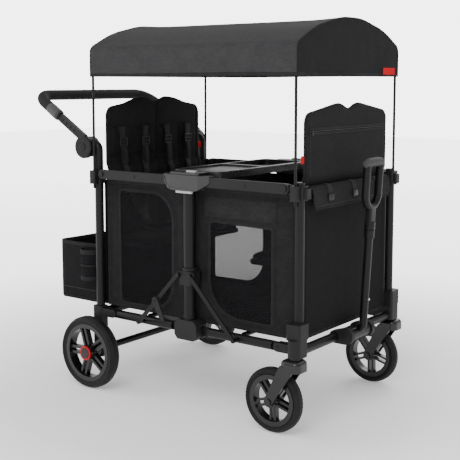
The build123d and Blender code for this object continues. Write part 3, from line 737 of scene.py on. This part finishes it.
def side_wall(end, sign, side, hand):
    """Half of a side wall, built as for the front left and mirrored by sign and hand."""
    window = FRONT_WINDOW if end == "front" else REAR_WINDOW
    wall = Piece(f"{end}_{side}_wall")
    xs, zs = np.linspace(PANEL_X0, PANEL_X1, 95), np.linspace(PANEL_Z0, PANEL_Z1, 113)
    x, z = np.meshgrid(xs, zs, indexing="ij")
    flat = np.stack([x, z], axis=2)
    distance = edge_distance(flat, window)
    near = np.abs(distance) < 2.6
    gaps = flat[near][:, None, :] - window[None]
    closest = np.argmin(np.linalg.norm(gaps, axis=2), axis=1)
    flat[near] = window[closest]
    inner = edge_distance((flat[1:, 1:] + flat[:-1, :-1]) / 2, window) > 0
    edge = np.minimum(np.minimum(x - PANEL_X0, PANEL_X1 - x), np.minimum(z - PANEL_Z0, PANEL_Z1 - z))
    spots = np.stack([x * sign, np.full_like(x, PANEL_Y * hand), z], axis=2)
    seed = 40 + 3 * (end == "front") + (hand > 0)
    folds = noise(spots * (1, 1, 0.4), seed, 190, 4)
    tension = noise(spots * (0.5, 1, 1.6), seed + 10, 150, 3)
    cloth = falloff(edge, 45) * (1.4 + 1.7 * folds + 1.0 * tension)
    slack = falloff(distance, 60) * (0.4 + 0.7 * tension)
    ripple = groove(distance + 7, 5) * 0.5
    y = PANEL_Y + np.where(distance > 0, slack + cloth * 0.4, cloth) + ripple
    y += np.clip((330 - z) / 43, 0, 1) ** 2 * 1.2
    y = np.minimum(y, 271)
    grid = np.stack([flat[..., 0] * sign, y * hand, flat[..., 1]], axis=2)
    keys = np.where(inner, "net", "side_cloth")
    wall.sheet(grid, keys, 1.4)

    def surface(points, lift):
        """Points (x, z) laid on the cloth, a little proud of it."""
        i = np.interp(points[:, 0], xs, np.arange(len(xs)))
        j = np.interp(points[:, 1], zs, np.arange(len(zs)))
        i0, j0 = np.minimum(i.astype(int), len(xs) - 2), np.minimum(j.astype(int), len(zs) - 2)
        a, b = i - i0, j - j0
        level = (y[i0, j0] * (1 - a) * (1 - b) + y[i0 + 1, j0] * a * (1 - b) + y[i0, j0 + 1] * (1 - a) * b
                 + y[i0 + 1, j0 + 1] * a * b)
        return np.stack([points[:, 0] * sign, (level + lift) * hand, points[:, 1]], axis=1)

    out = (0, hand, 0)
    ring = surface(window, 0.9)
    wall.tape(ring, out, 9, 1.2, "lining", closed=True, crown=0.3)
    ring = surface(window, -0.9)
    wall.tape(ring, (0, -hand, 0), 9, 1.2, "lining", closed=True, crown=0.3)
    grown = grow(window, 8)
    wall.tube(surface(grown, 0.9), 1.5, "lining", 8, closed=True)
    if end == "rear":
        grown = grow(window, 17)
        grown[:, 0] = np.clip(grown[:, 0], PANEL_X0 + 27, PANEL_X1 - 4)
        grown[:, 1] = np.clip(grown[:, 1], PANEL_Z0 + 4, PANEL_Z1 - 2)
        wall.tube(surface(grown, 0.9), 1.3, "lining", 8, closed=True)
    else:
        band_z = np.linspace(642, 706, 14)
        band_x = np.linspace(PANEL_X0 + 39, 318, 70)
        bx, bz = np.meshgrid(band_x, band_z, indexing="ij")
        top = surface(np.stack([bx, bz], axis=2).reshape(-1, 2), 1.1).reshape(70, 14, 3)
        wall.sheet(top, "header", 1.0)
    for x_line in (322, 378) if end == "front" else (372, 386):
        run = np.stack([np.full(80, x_line), np.linspace(PANEL_Z0 + 8, PANEL_Z1 - 4, 80)], axis=1)
        wall.tube(surface(run, 0.7), 1.1, "lining", 6)
    for z_line, width in ((PANEL_Z0 + 5, 11), (PANEL_Z1 - 6, 12)):
        run = np.stack([np.linspace(PANEL_X0, PANEL_X1, 80), np.full(80, z_line)], axis=1)
        wall.tape(surface(run, 0.9), out, width, 1.2, "lining")
    for x_line in (PANEL_X0 + 5, PANEL_X1 - 5):
        run = np.stack([np.full(80, x_line), np.linspace(PANEL_Z0, PANEL_Z1, 80)], axis=1)
        wall.tape(surface(run, 0.9), out, 11, 1.2, "lining")
    piece = wall.build(f"{end}_frame")
    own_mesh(piece)
    return piece


def grow(loop, amount):
    """A closed 2-D loop moved outwards."""
    tangent = np.roll(loop, -1, axis=0) - np.roll(loop, 1, axis=0)
    tangent /= np.maximum(np.linalg.norm(tangent, axis=1, keepdims=True), 1e-9)
    normal = np.stack([tangent[:, 1], -tangent[:, 0]], axis=1)
    centre = loop.mean(axis=0)
    if np.sum(normal * (loop - centre)) < 0:
        normal = -normal
    return loop + normal * amount


def side_walls():
    for end, sign in ENDS:
        made = [side_wall(end, sign, side, hand) for side, hand in SIDES]
        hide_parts(f"{end}_side_panels")


# ------------------------------------------------------------------ end walls and pocket flap
def end_wall(end, sign):
    wall = Piece(f"{end}_wall")
    ys, zs = np.linspace(-267, 267, 108), np.linspace(287, 732, 90)
    y, z = np.meshgrid(ys, zs, indexing="ij")
    spots = np.stack([np.full_like(y, sign * 412), y, z], axis=2)
    edge = np.minimum(np.minimum(267 - np.abs(y), 2000 + y), np.minimum(z - 287, 732 - z))
    folds = noise(spots * (1, 1, 0.3), 61 + sign, 230, 4)
    creases = noise(spots * (1, 0.6, 1.3), 71 + sign, 120, 3)
    x = 412 + falloff(edge, 50) * (1.6 * folds + 0.9 * creases - 0.8) - 3.0 * groove(z - 287, 30) * 0.4
    x = np.clip(x, 407.5, 415)
    grid = np.stack([sign * x, y, z], axis=2)
    wall.sheet(grid, "cloth", 1.4)

    def surface(points, lift):
        i = np.interp(points[:, 0], ys, np.arange(len(ys))).astype(int)
        j = np.interp(points[:, 1], zs, np.arange(len(zs))).astype(int)
        return np.stack([sign * (x[i, j] + lift), points[:, 0], points[:, 1]], axis=1)

    out = (sign, 0, 0)
    for z_line in (292, 726):
        run = np.stack([np.linspace(-266, 266, 90), np.full(90, z_line)], axis=1)
        wall.tape(surface(run, 0.9), out, 11, 1.2, "lining")
    for y_line in (-240, 240):
        run = np.stack([np.full(80, y_line), np.linspace(292, 728, 80)], axis=1)
        wall.tube(surface(run, 0.6), 1.1, "lining", 6)
    for y_line in (-261, 261):
        run = np.stack([np.full(80, y_line), np.linspace(290, 730, 80)], axis=1)
        wall.tape(surface(run, 0.9), out, 11, 1.2, "lining")
    piece = wall.build(f"{end}_frame")
    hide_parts(f"{end}_end_panel")


def floor_strip(end, sign):
    """Bottom of the fabric tub between the end of the floor board and the end wall."""
    strip = Piece(f"{end}_floor_cloth")
    share = np.linspace(0, 1, 16)[:, None]
    y = np.linspace(-262, 262, 60)[None, :]
    x = 332 + 76 * share + 0 * y
    z = 296.6 - 6 * share + 0.5 * np.sin(y / 60)
    strip.sheet(np.stack([x * sign, y + 0 * x, z], axis=2), "cloth", 1.4)
    hem = np.stack([np.full(60, 334.0 * sign), y[0], np.full(60, 297.6)], axis=1)
    strip.tape(hem, (0, 0, 1), 10, 1.2, "lining")
    piece = strip.build(f"{end}_frame")
    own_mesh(piece)


def pocket_flap():
    """Soft flap that hangs over the front tube, bound at its edge, with two straps and a clip."""
    flap = Piece("pocket_flap")
    ys = np.linspace(-244, 244, 99)
    run = [(398, 742), (404, 752), (412, 758.5), (420, 760.5), (428, 758.5), (434, 753), (437, 745),
           (438.5, 735), (439, 720), (438.5, 700), (437.5, 690)]
    run = respaced(np.array(run, float), 3.2)
    grid = np.zeros((len(ys), len(run), 3))
    for i, y in enumerate(ys):
        share = np.linspace(0, 1, len(run))
        corner = max(0, (abs(y) - 222) / 22)
        short = 1 - 0.32 * (1 - sqrt(max(0, 1 - corner ** 2))) if corner else 1
        spots = share * short
        grid[i, :, 0] = np.interp(spots, share, run[:, 0])
        grid[i, :, 1] = y
        grid[i, :, 2] = np.interp(spots, share, run[:, 1])
    hang = np.clip((745 - grid[..., 2]) / 55, 0, 1)
    wave = noise(grid * (1, 1, 0.4), 91, 150, 3)
    grid[..., 0] += hang * (1.4 + 2.2 * wave)
    grid[..., 2] += hang * 2.5 * noise(grid * (0, 1, 0), 92, 260, 2)
    flap.sheet(grid, "flap", 1.8)
    border = np.concatenate([grid[0, 12:], grid[1:-1, -1], grid[-1, 12:][::-1]])
    flap.tube(border + (0.4, 0, 0), 2.2, "lining", 8)
    inner = grid[3:-3, -4] + (1.4, 0, 0)
    flap.tube(inner, 0.7, "thread", 6)
    for y in (-150, 0, 150):
        i = int(np.argmin(np.abs(ys - y)))
        strap = grid[i, 4:-6].copy()
        strap[:, 0] += np.where(strap[:, 0] > 420, 1.8, 0)
        strap[:, 2] += np.where(strap[:, 2] > 748, 1.8, 0)
        normals = normals_of(grid)[i]
        outward = np.sign(normals[len(run) // 2, 0] or 1)
        flap.tape(strap, normals[4:-6] * outward, 25, 1.4, "webbing")
        flap.slab((443.5, y, 722), (5, 30, 20), "gloss_key", 2)
    piece = flap.build("front_frame")
    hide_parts("front_pocket_flap")


# ------------------------------------------------------------------ seats
SEAT_HALF, SEAT_BASE, SEAT_FACE = 256, 547, 391
STRAPS = (-188, -64, 56, 178)


def back_top(y, corner, peak, notch):
    """Height of a back rest's top edge: a soft V between two rounded peaks, then sloping shoulders."""
    spots = np.array([0, 14, 34, 56, 84, 120, 170, 214, 236, 249, SEAT_HALF])
    levels = np.array([notch, notch + 3, (notch + peak) / 2 + 3, peak - 1, peak - 3, peak - 9, corner + 8,
                       corner + 1, corner - 2, corner - 10, corner - 30], float)
    fine = np.linspace(0, SEAT_HALF, 257)
    line = np.interp(fine, spots, levels)
    line[6:-6] = np.convolve(line, np.ones(13) / 13, mode="valid")
    return np.interp(np.abs(y), fine, line)


def back_x(z):
    """Middle of the padding in X: it steps out over the end tube."""
    step = np.clip((z - 757) / 34, 0, 1)
    return SEAT_FACE + 7.5 + 13 * step * step * (3 - 2 * step)


def seat_back(end, sign):
    corner, peak, notch = (983, 1008, 990) if end == "front" else (989, 1021, 1002)
    us = np.sin(np.linspace(-pi / 2, pi / 2, 121) * 0.94) / sin(pi / 2 * 0.94)
    vs = np.sin(np.linspace(-pi / 2, pi / 2, 129) * 0.92) / sin(pi / 2 * 0.92) * 0.5 + 0.5
    y = (us * SEAT_HALF)[:, None] * np.ones_like(vs)[None]
    top = back_top(y, corner, peak, notch)
    z = SEAT_BASE + vs[None] * (top - SEAT_BASE)
    edge = np.minimum(SEAT_HALF - np.abs(y), np.minimum(z - SEAT_BASE, (top - z) * 0.94))
    round_off = np.sqrt(1 - np.square(1 - np.clip(edge / 13, 0, 1)))
    middle_x = back_x(z)
    spots = np.stack([np.zeros_like(y), y, z], axis=2)
    soft = noise(spots, 101 + sign, 170, 4)
    seams = np.maximum.reduce([
        groove(z - 918, 5), groove(z - 813, 5), groove(z - 700, 5) * (z < 760),
        groove(y, 5) * (z < notch - 4), groove(np.abs(y) - 128, 5) * (z < 918), groove(np.abs(y) - 236, 5)])
    away = np.minimum.reduce([
        np.abs(z - 918), np.abs(z - 813), np.abs(y), np.where(z < 918, np.abs(np.abs(y) - 128), 200), edge])
    puff = falloff(away, 26)
    inner = 1.5 + round_off * (3.4 + 2.8 * puff + 0.9 * soft) - 3.4 * seams * round_off
    outer = 1.5 + round_off * (5.2 + 0.7 * soft) - 1.6 * groove(z - 926, 3) * round_off
    pull = noise(spots * (1, 1, 0.4), 111 + sign, 240, 3)
    outer += round_off * 0.7 * pull
    front = np.stack([(middle_x - inner) * sign, y, z], axis=2)
    back = np.stack([(middle_x + outer) * sign, y, z], axis=2)
    rest = Piece(f"{end}_seat_back_pad")
    rest.pillow(front, back, "quilt", "seat")
    rim = np.concatenate([front[:, 0], front[-1, 1:], front[-2::-1, -1], front[0, -2:0:-1]])
    low_x, high_x = SEAT_FACE + 7.5, SEAT_FACE + 20.5
    rim_x = np.interp(rim[:, 2], [500, 757, 791, 1100], [low_x, low_x, high_x, high_x])
    rim = np.stack([rim_x * sign, rim[:, 1], rim[:, 2]], axis=1)
    rest.tube(respaced(rim, 5, True), 2.6, "lining", 8, closed=True, up=(1, 0, 0))
    outward = (sign, 0, 0)

    def outside(points, lift):
        """Points (y, z) on the outer face."""
        i = np.clip(np.interp(points[:, 0], y[:, 0], np.arange(len(us))), 0, len(us) - 1).astype(int)
        share = (points[:, 1] - SEAT_BASE) / (top[i, 0] - SEAT_BASE)
        j = np.clip(np.interp(share, vs, np.arange(len(vs))), 0, len(vs) - 1).astype(int)
        return np.stack([back[i, j, 0] + lift * sign, points[:, 0], points[:, 1]], axis=1)

    zip_line = np.stack([np.linspace(-238, 238, 110), np.full(110, 926.0)], axis=1)
    rest.tape(outside(zip_line + (0, 7), 0.8), outward, 9, 1.2, "lining")
    rest.tape(outside(zip_line + (0, -7), 0.8), outward, 9, 1.2, "lining")
    rest.tube(outside(zip_line, 1.2), 1.5, "thread", 6)
    rest.slab(outside(np.array([[-226.0, 921]]), 3.4)[0], (3, 6, 17), "gloss_key", 1.2)
    for side in (-1, 1):
        stitch = np.stack([np.full(90, side * 232.0), np.linspace(600, corner - 22, 90)], axis=1)
        rest.tube(outside(stitch, 0.3), 0.6, "thread", 5)
    piece = rest.build(f"{end}_frame", 80)
    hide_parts(f"{end}_seat_back")

    tag = Piece(f"{end}_seat_label")
    side, level = (1, 830) if end == "rear" else (-1, 842)
    tag.slab(((SEAT_FACE + 20.5) * sign, side * (SEAT_HALF + 8), level), (2.6, 19, 24), "label", 1.2)
    tag.build(f"{end}_frame")
    harness(end, sign)


def harness(end, sign):
    """Shoulder straps with adjusters, lap straps and a buckle for each of two children."""
    gear = Piece(f"{end}_harness")

    def skin(z_at):
        return back_x(z_at) - 8.8

    for number, y_at in enumerate(STRAPS):
        child = -122 if number < 2 else 122
        lean = 11 if y_at < child else -11
        zs = np.concatenate([np.linspace(914, 745, 26), np.linspace(736, 610, 16)])
        ys = y_at + lean * np.clip((914 - zs) / 170, 0, 1)
        ys = ys + (child + np.sign(ys - child) * 17 - ys) * np.clip((760 - zs) / 150, 0, 1) ** 1.6
        lift = 2.0 + 3.4 * np.sin(np.clip((914 - zs) / 300, 0, 1) * pi)
        lift = lift + np.clip((745 - zs) / 135, 0, 1) ** 1.5 * 22
        xs = np.array([skin(z) for z in zs]) - lift
        line = np.stack([xs * sign, ys, zs], axis=1)
        gear.tape(respaced(line, 7), (-sign, 0, 0), 27, 1.8, "webbing", crown=0.2)
        second = line[6:20] + np.array([-2.4 * sign, 3.0 * np.sign(lean), 0])
        second[:, 1] += np.linspace(0, 5, len(second))
        gear.tape(second, (-sign, 0, 0.05), 24, 1.5, "webbing")
        gear.tape(line[:3] + (0.8 * sign, 0, 4), (-sign, 0, 0), 38, 2.0, "lining")
        ring_z = 862
        ring_y = y_at + lean * (914 - ring_z) / 170
        ring_x = (skin(ring_z) - 7.5) * sign
        for offset in (-13, 0, 13):
            bar = np.array([[ring_x, ring_y - 17, ring_z + offset], [ring_x, ring_y + 17, ring_z + offset]])
            gear.tube(respaced(bar, 8), 2.2 if offset else 1.8, "gloss_key", 8)
        for offset in (-17, 17):
            bar = np.array([[ring_x, ring_y + offset, ring_z - 14], [ring_x, ring_y + offset, ring_z + 14]])
            gear.tube(respaced(bar, 7), 2.2, "gloss_key", 8, up=(0, 1, 0))
        tail = np.array([[ring_x, ring_y, ring_z - 13], [ring_x - 3 * sign, ring_y + 3, ring_z - 50],
                         [ring_x - 1.5 * sign, ring_y + 5, ring_z - 92]])
        gear.tape(respaced(tail, 7), (-sign, 0, 0), 22, 1.5, "webbing")
    for child in (-122, 122):
        hub_x = (SEAT_FACE - 33) * sign
        turn = Matrix.Rotation(radians(24) * sign, 3, "Y")
        gear.slab((hub_x, child, 590), (14, 50, 58), "gloss_key", 6, np.array(turn))
        gear.slab((hub_x - 8 * sign, child, 588), (4, 24, 24), "grey_key", 2, np.array(turn))
        for side in (-1, 1):
            lap = np.array([[hub_x, child + side * 20, 578],
                            [hub_x + 4 * sign, child + side * 56, 563],
                            [hub_x + 20 * sign, child + side * 88, 553],
                            [hub_x + 32 * sign, child + side * 102, 549]])
            gear.tape(smoothed(lap, 6), (-sign * 0.5, 0, 0.85), 25, 1.8, "webbing")
        crotch = np.array([[hub_x, child, 566], [hub_x - 12 * sign, child, 553],
                           [hub_x - 30 * sign, child, 546.5], [hub_x - 52 * sign, child, 544]])
        gear.tape(smoothed(crotch, 5), (-sign * 0.4, 0, 0.9), 28, 1.8, "webbing")
    piece = gear.build(f"{end}_frame")
    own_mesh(piece)


def smoothed(points, step):
    """A smooth line through a few points (Catmull-Rom), with even spacing."""
    points = np.asarray(points, float)
    padded = np.vstack([2 * points[0] - points[1], points, 2 * points[-1] - points[-2]])
    line = []
    for i in range(1, len(padded) - 2):
        p0, p1, p2, p3 = padded[i - 1:i + 3]
        for t in np.linspace(0, 1, 12, endpoint=False):
            line.append(0.5 * (2 * p1 + (p2 - p0) * t + (2 * p0 - 5 * p1 + 4 * p2 - p3) * t * t
                               + (3 * p1 - p0 - 3 * p2 + p3) * t ** 3))
    line.append(padded[-2])
    return respaced(np.array(line), step)


def cushion(name, low, high, body, key, cap, seams, pressure=4.0):
    """Stuffed seat pad, blown up by cloth simulation from a slightly smaller block, with grooved seams."""
    low, high = np.array(low, float), np.array(high, float)
    bm = bmesh.new()
    bmesh.ops.create_cube(bm, size=1)
    size, centre = (high - low), (high + low) / 2
    bmesh.ops.scale(bm, vec=size * MM, verts=bm.verts)
    bmesh.ops.bevel(bm, geom=bm.edges[:], offset=0.007, segments=3, profile=0.6, affect="EDGES")
    mesh = bpy.data.meshes.new(name)
    bm.to_mesh(mesh)
    bm.free()
    mesh.transform(Matrix.Translation(at(*centre)))
    pad = bpy.data.objects.new(name, mesh)
    bpy.context.scene.collection.objects.link(pad)
    bpy.context.view_layer.objects.active = pad
    remesh = pad.modifiers.new("voxels", "REMESH")
    remesh.mode = "VOXEL"
    remesh.voxel_size = 0.006
    settle(pad, cap, pressure)
    points = np.array([v.co for v in pad.data.vertices]) / MM
    points[:, 0] -= CENTER_X / MM
    top = np.clip((points[:, 2] - centre[2]) / (size[2] / 2), 0, 1)
    sink = np.zeros(len(points))
    for axis, spot in seams:
        sink = np.maximum(sink, groove(points[:, axis] - spot, 5))
    points[:, 2] -= sink * top * 4
    bottom = np.clip((low[2] + 3 - points[:, 2]), 0, None)
    points[:, 2] += bottom * 0.8
    points[:, 0] += CENTER_X / MM
    pad.data.vertices.foreach_set("co", (points * MM).ravel())
    smooth = pad.modifiers.new("smooth", "SUBSURF")
    smooth.levels = smooth.render_levels = 1
    pad.data.materials.append(MATERIALS[key])
    pad.data.shade_smooth()
    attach(pad, body)
    return pad


def freeze(obj):
    """Apply every modifier of an object to its mesh."""
    shape = bpy.data.meshes.new_from_object(obj.evaluated_get(bpy.context.evaluated_depsgraph_get()))
    obj.modifiers.clear()
    obj.data = shape


def settle(pad, cap, pressure):
    """Cloth simulation under pressure, no point moving further than cap metres."""
    freeze(pad)
    start = np.array([v.co for v in pad.data.vertices])
    cloth = pad.modifiers.new("cloth", "CLOTH")
    settings = cloth.settings
    settings.use_pressure = True
    settings.uniform_pressure_force = pressure
    settings.quality = 5
    settings.mass = 0.3
    settings.effector_weights.gravity = 0
    cloth.point_cache.frame_start, cloth.point_cache.frame_end = 1, 20
    scene = bpy.context.scene
    for number in range(1, 21):
        scene.frame_set(number)
    freeze(pad)
    scene.frame_set(1)
    after = np.array([v.co for v in pad.data.vertices])
    move = after - start
    length = np.linalg.norm(move, axis=1, keepdims=True)
    move *= np.minimum(1, cap / np.maximum(length, 1e-9))
    pad.data.vertices.foreach_set("co", (start + move).ravel())
    pad.data.update()


def seat_pans():
    for end, sign in ENDS:
        x0, x1 = sorted((sign * 206, sign * 379))
        pad = cushion(f"{end}_seat_cushion", (x0, -249, 511), (x1, 249, 532), f"{end}_seat", "seat", 0.007,
                      [(1, 0.0), (0, sign * 292.0)])
        board = Piece(f"{end}_seat_base")
        rim = rounded([(x0 - 3, -252), (x1 + 3, -252), (x1 + 3, 252), (x0 - 3, 252)], [18] * 4, 7)
        line = np.column_stack([rim, np.full(len(rim), 512.0)])
        board.tube(line, 2.4, "lining", 8, closed=True)
        levels = np.linspace(501, 512, 4)
        wall = np.stack([np.column_stack([rim, np.full(len(rim), level)]) for level in levels], axis=1)
        board.sheet(wall, "cloth", 1.6, wrap=True)
        xs, ys = np.linspace(x0 + 2, x1 - 2, 24), np.linspace(-247, 247, 40)
        grid_x, grid_y = np.meshgrid(xs, ys, indexing="ij")
        under = np.stack([grid_x, grid_y, np.full_like(grid_x, 502.0)], axis=2)
        board.sheet(under, "cloth", 1.6)
        board.build(f"{end}_seat")
        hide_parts(f"{end}_seat_pan")


# ------------------------------------------------------------------ rear basket
def basket():
    x0, x1, half, z0, z1 = -662, -442, 248, 275, 491
    bag = Piece("basket_bag")
    loop = rounded([(x0, -half), (x1, -half), (x1, half), (x0, half)], [16, 16, 16, 16], 7)
    centre = np.array([(x0 + x1) / 2, 0])
    rows = []
    for share in np.linspace(0.04, 0.985, 16):
        spots = centre + (loop - centre) * share
        level = z0 + 4 * share ** 4 - 1.5 * (1 - share ** 2)
        rows.append(np.column_stack([spots, np.full(len(spots), level)]))
    levels = np.linspace(0, 1, 32)
    for share in levels:
        z = z0 + 4 + share * (z1 - z0 - 4)
        away = loop - centre
        spots = loop.copy()
        on_long = np.abs(np.abs(loop[:, 0] - centre[0]) - (x1 - x0) / 2) < 3
        mid_long = np.cos(loop[:, 1] / half * pi / 2)
        mid_short = np.cos((loop[:, 0] - centre[0]) / ((x1 - x0) / 2) * pi / 2)
        bulge = np.sin(share * pi) * 1.0
        sag = np.where(on_long, mid_long, mid_short)
        lean = np.where(on_long[:, None], np.sign(away) * (1, 0), np.sign(away) * (0, 1))
        spots += lean * (sag * bulge * 2.0)[:, None]
        rows.append(np.column_stack([spots, z - 2.5 * share * sag]))
    grid = np.stack(rows, axis=1)
    spots = grid * (1, 1, 0.5)
    grid[:, 16:, :2] += (noise(spots, 131, 160, 4)[:, 16:, None] * 0.9) * np.sign(grid[:, 16:, :2] - centre)
    bag.sheet(grid, "cloth", 2.4, wrap=True)
    rim = grid[:, -1]
    bag.tape(rim + (0, 0, -5), outward_of(rim, centre), 13, 4.4, "lining", closed=True)
    bag.tube(rim + (0, 0, 0.5), 3.0, "lining", 8, closed=True)
    foot = grid[:, 17]
    bag.tube(foot + outward_of(foot, centre) * 1.4, 2.0, "lining", 8, closed=True)
    band = grid[:, 22]
    bag.tube(band + outward_of(band, centre) * 1.2, 1.0, "thread", 6, closed=True)
    for px in (x0 + 5, x1 - 5):
        for py in (-half + 5, half - 5):
            index = int(np.argmin(np.linalg.norm(loop - (px, py), axis=1)))
            run = grid[index, 17:]
            bag.tube(run + outward_of(run, centre) * 1.2, 1.9, "lining", 8)
    piece = bag.build("rear_frame", 70)
    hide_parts("storage_basket")

    hang = Piece("basket_straps")
    for y in (-170, 0, 170):
        path = smoothed([(-445.5, y, 400), (-444.5, y, 470), (-440, y, 520), (-436.5, y, 640),
                         (-433.5, y, 735), (-431, y, 752), (-421, y, 758.4), (-410, y, 752),
                         (-406.8, y, 742)], 7)
        hang.tape(path, strap_normals(path), 24, 1.6, "webbing")
        hang.slab((-438.6, y, 600), (6, 34, 24), "gloss_key", 2)
    hang.build("rear_frame")

    cup = Piece("cup_pocket")
    angles = np.linspace(radians(184), radians(356), 46)
    cx, cy, r = -494, -264, 41
    rows = []
    for z in np.linspace(364, 474, 20):
        grow_by = -1.6 * sin((z - 364) / 110 * pi)
        rows.append(level_arc(cx, cy + 13, z, r + grow_by, angles))
    grid = np.stack(rows, axis=1)
    cup.sheet(grid, "net_dense", 1.4)
    for z, wide in ((467, 17), (371, 15), (418, 6)):
        row = level_arc(cx, cy + 13, z, r + 1.4, angles)
        cup.tape(row, np.stack([np.cos(angles), np.sin(angles), 0 * angles], axis=1), wide, 2.6, "lining")
    shares = np.linspace(0.02, 1, 8)
    base = np.stack([level_arc(cx, cy + 13, 365.0, r * s, angles) for s in shares], axis=1)
    cup.sheet(base, "cloth", 2.0)
    cup.build("rear_frame")


def outward_of(points, centre):
    away = points[:, :2] - centre
    out = np.where(np.abs(away) > np.array([98, 236]), np.sign(away), 0).astype(float)
    length = np.linalg.norm(out, axis=1, keepdims=True)
    straight = away / np.linalg.norm(away, axis=1, keepdims=True)
    out = np.where(length > 0, out / np.maximum(length, 1e-9), straight)
    return np.column_stack([out, np.zeros(len(out))])


def strap_normals(path):
    """Normals of a strap that runs in an X-Z plane."""
    tangent = np.gradient(path, axis=0)
    normal = np.stack([-tangent[:, 2], np.zeros(len(path)), tangent[:, 0]], axis=1)
    return normal / np.linalg.norm(normal, axis=1, keepdims=True)


# ------------------------------------------------------------------ grips, tyres and small hardware
def grip_pad():
    """Crowned soft grip of the pull handle."""
    low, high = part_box("pull_grip_bar")
    centre = (low + high) / 2 / MM
    centre = np.array([centre.x - CENTER_X / MM, 0, centre.z])
    ys = np.linspace(-55, 55, 45)
    line = np.stack([np.full(45, centre[0]), ys, centre[2] - 5.0 * (ys / 55) ** 4], axis=1)
    radius = 14.6 + 1.4 * np.cos(ys / 55 * pi / 2) - 4.4 * np.clip((np.abs(ys) - 40) / 15, 0, 1) ** 2
    pad = Piece("pull_grip_pad")
    pad.tube(line, radius, "grip", 28, up=(0, 0, 1), flatten=0.92)
    for side in (-1, 1):
        cap = np.array([[centre[0], side * (54 + k * 1.2), centre[2] - 5.0] for k in range(4)])
        pad.tube(cap, (radius[0], radius[0] * 0.86, radius[0] * 0.6, 0.5), "grip", 28)
    for offset in range(-3, 4):
        spot = line[22 + offset * 5]
        angle = np.linspace(0, 2 * pi, 36, endpoint=False)
        r = radius[22 + offset * 5] + 0.15
        ring = np.stack([spot[0] + r * np.cos(angle), np.full(36, spot[1]),
                         spot[2] + r * 0.92 * np.sin(angle)], axis=1)
        pad.tube(ring, 0.7, "grip", 6, closed=True, up=(0, 1, 0))
    piece = pad.build("pull_grip")
    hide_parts("pull_grip_bar")


def handle_bands():
    """Smooth sleeves over both ends of the push handle's foam."""
    for side, hand in SIDES:
        root, corner = np.array([-464, 314.6 * hand, 880]), np.array([-728, 290 * hand, 1026])
        along = (corner - root) / np.linalg.norm(corner - root)
        line = root + along * np.linspace(151, 212, 22)[:, None]
        radius = np.full(22, 19.9)
        radius[:3] = (14.5, 18.6, 19.6)
        radius[-3:] = (19.8, 19.5, 19.1)
        band = Piece(f"handle_band_{side}")
        band.tube(line, radius, "band", 30)
        band.build("push_handle")


# node, body, radius and width of each tyre
TYRES = (
    ("rear_tyre_left", "rear_wheel_left", 127, 44.3),
    ("rear_tyre_right", "rear_wheel_right", 127, 44.3),
    ("caster_tyre_left", "caster_wheel_left", 101.6, 38.2),
    ("caster_tyre_right", "caster_wheel_right", 101.6, 38.2),
)


def tyre_details():
    """Raised rings on the tyres' side walls and a fine ribbed tread."""
    for node, body, radius, width in TYRES:
        low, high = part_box(node)
        centre = (low + high) / 2 / MM
        cx, cy, cz = centre.x - CENTER_X / MM, centre.y, centre.z
        rings = Piece(node + "_ribs")
        angle = np.linspace(0, 2 * pi, 120, endpoint=False)
        for side in (-1, 1):
            for reach, across in ((radius - 9.5, width / 2 + 0.1), (radius - 16, width / 2 - 2.3)):
                ring = np.stack([cx + reach * np.cos(angle), np.full(120, cy + side * across),
                                 cz + reach * np.sin(angle)], axis=1)
                rings.tube(ring, 0.9, "tyre", 6, closed=True, up=(0, 1, 0))
        steps = 66 if radius > 110 else 54
        for number in range(steps):
            a = 2 * pi * number / steps
            for side in (-1, 1):
                b = a + 0.05
                crown, shoulder = radius - 0.1, radius - 2.0
                start = np.array([cx + crown * cos(a), cy + side * 3.5, cz + crown * sin(a)])
                end = np.array([cx + shoulder * cos(b), cy + side * width * 0.33, cz + shoulder * sin(b)])
                rings.tube(respaced(np.array([start, end]), 5), 0.55, "tyre", 5, up=(cos(a), 0, sin(a)))
        rings.build(body)


studio()
paint_nodes()
canopy()
side_walls()
for end_name, end_sign in ENDS:
    end_wall(end_name, end_sign)
    floor_strip(end_name, end_sign)
    seat_back(end_name, end_sign)
pocket_flap()
seat_pans()
basket()
grip_pad()
handle_bands()
tyre_details()
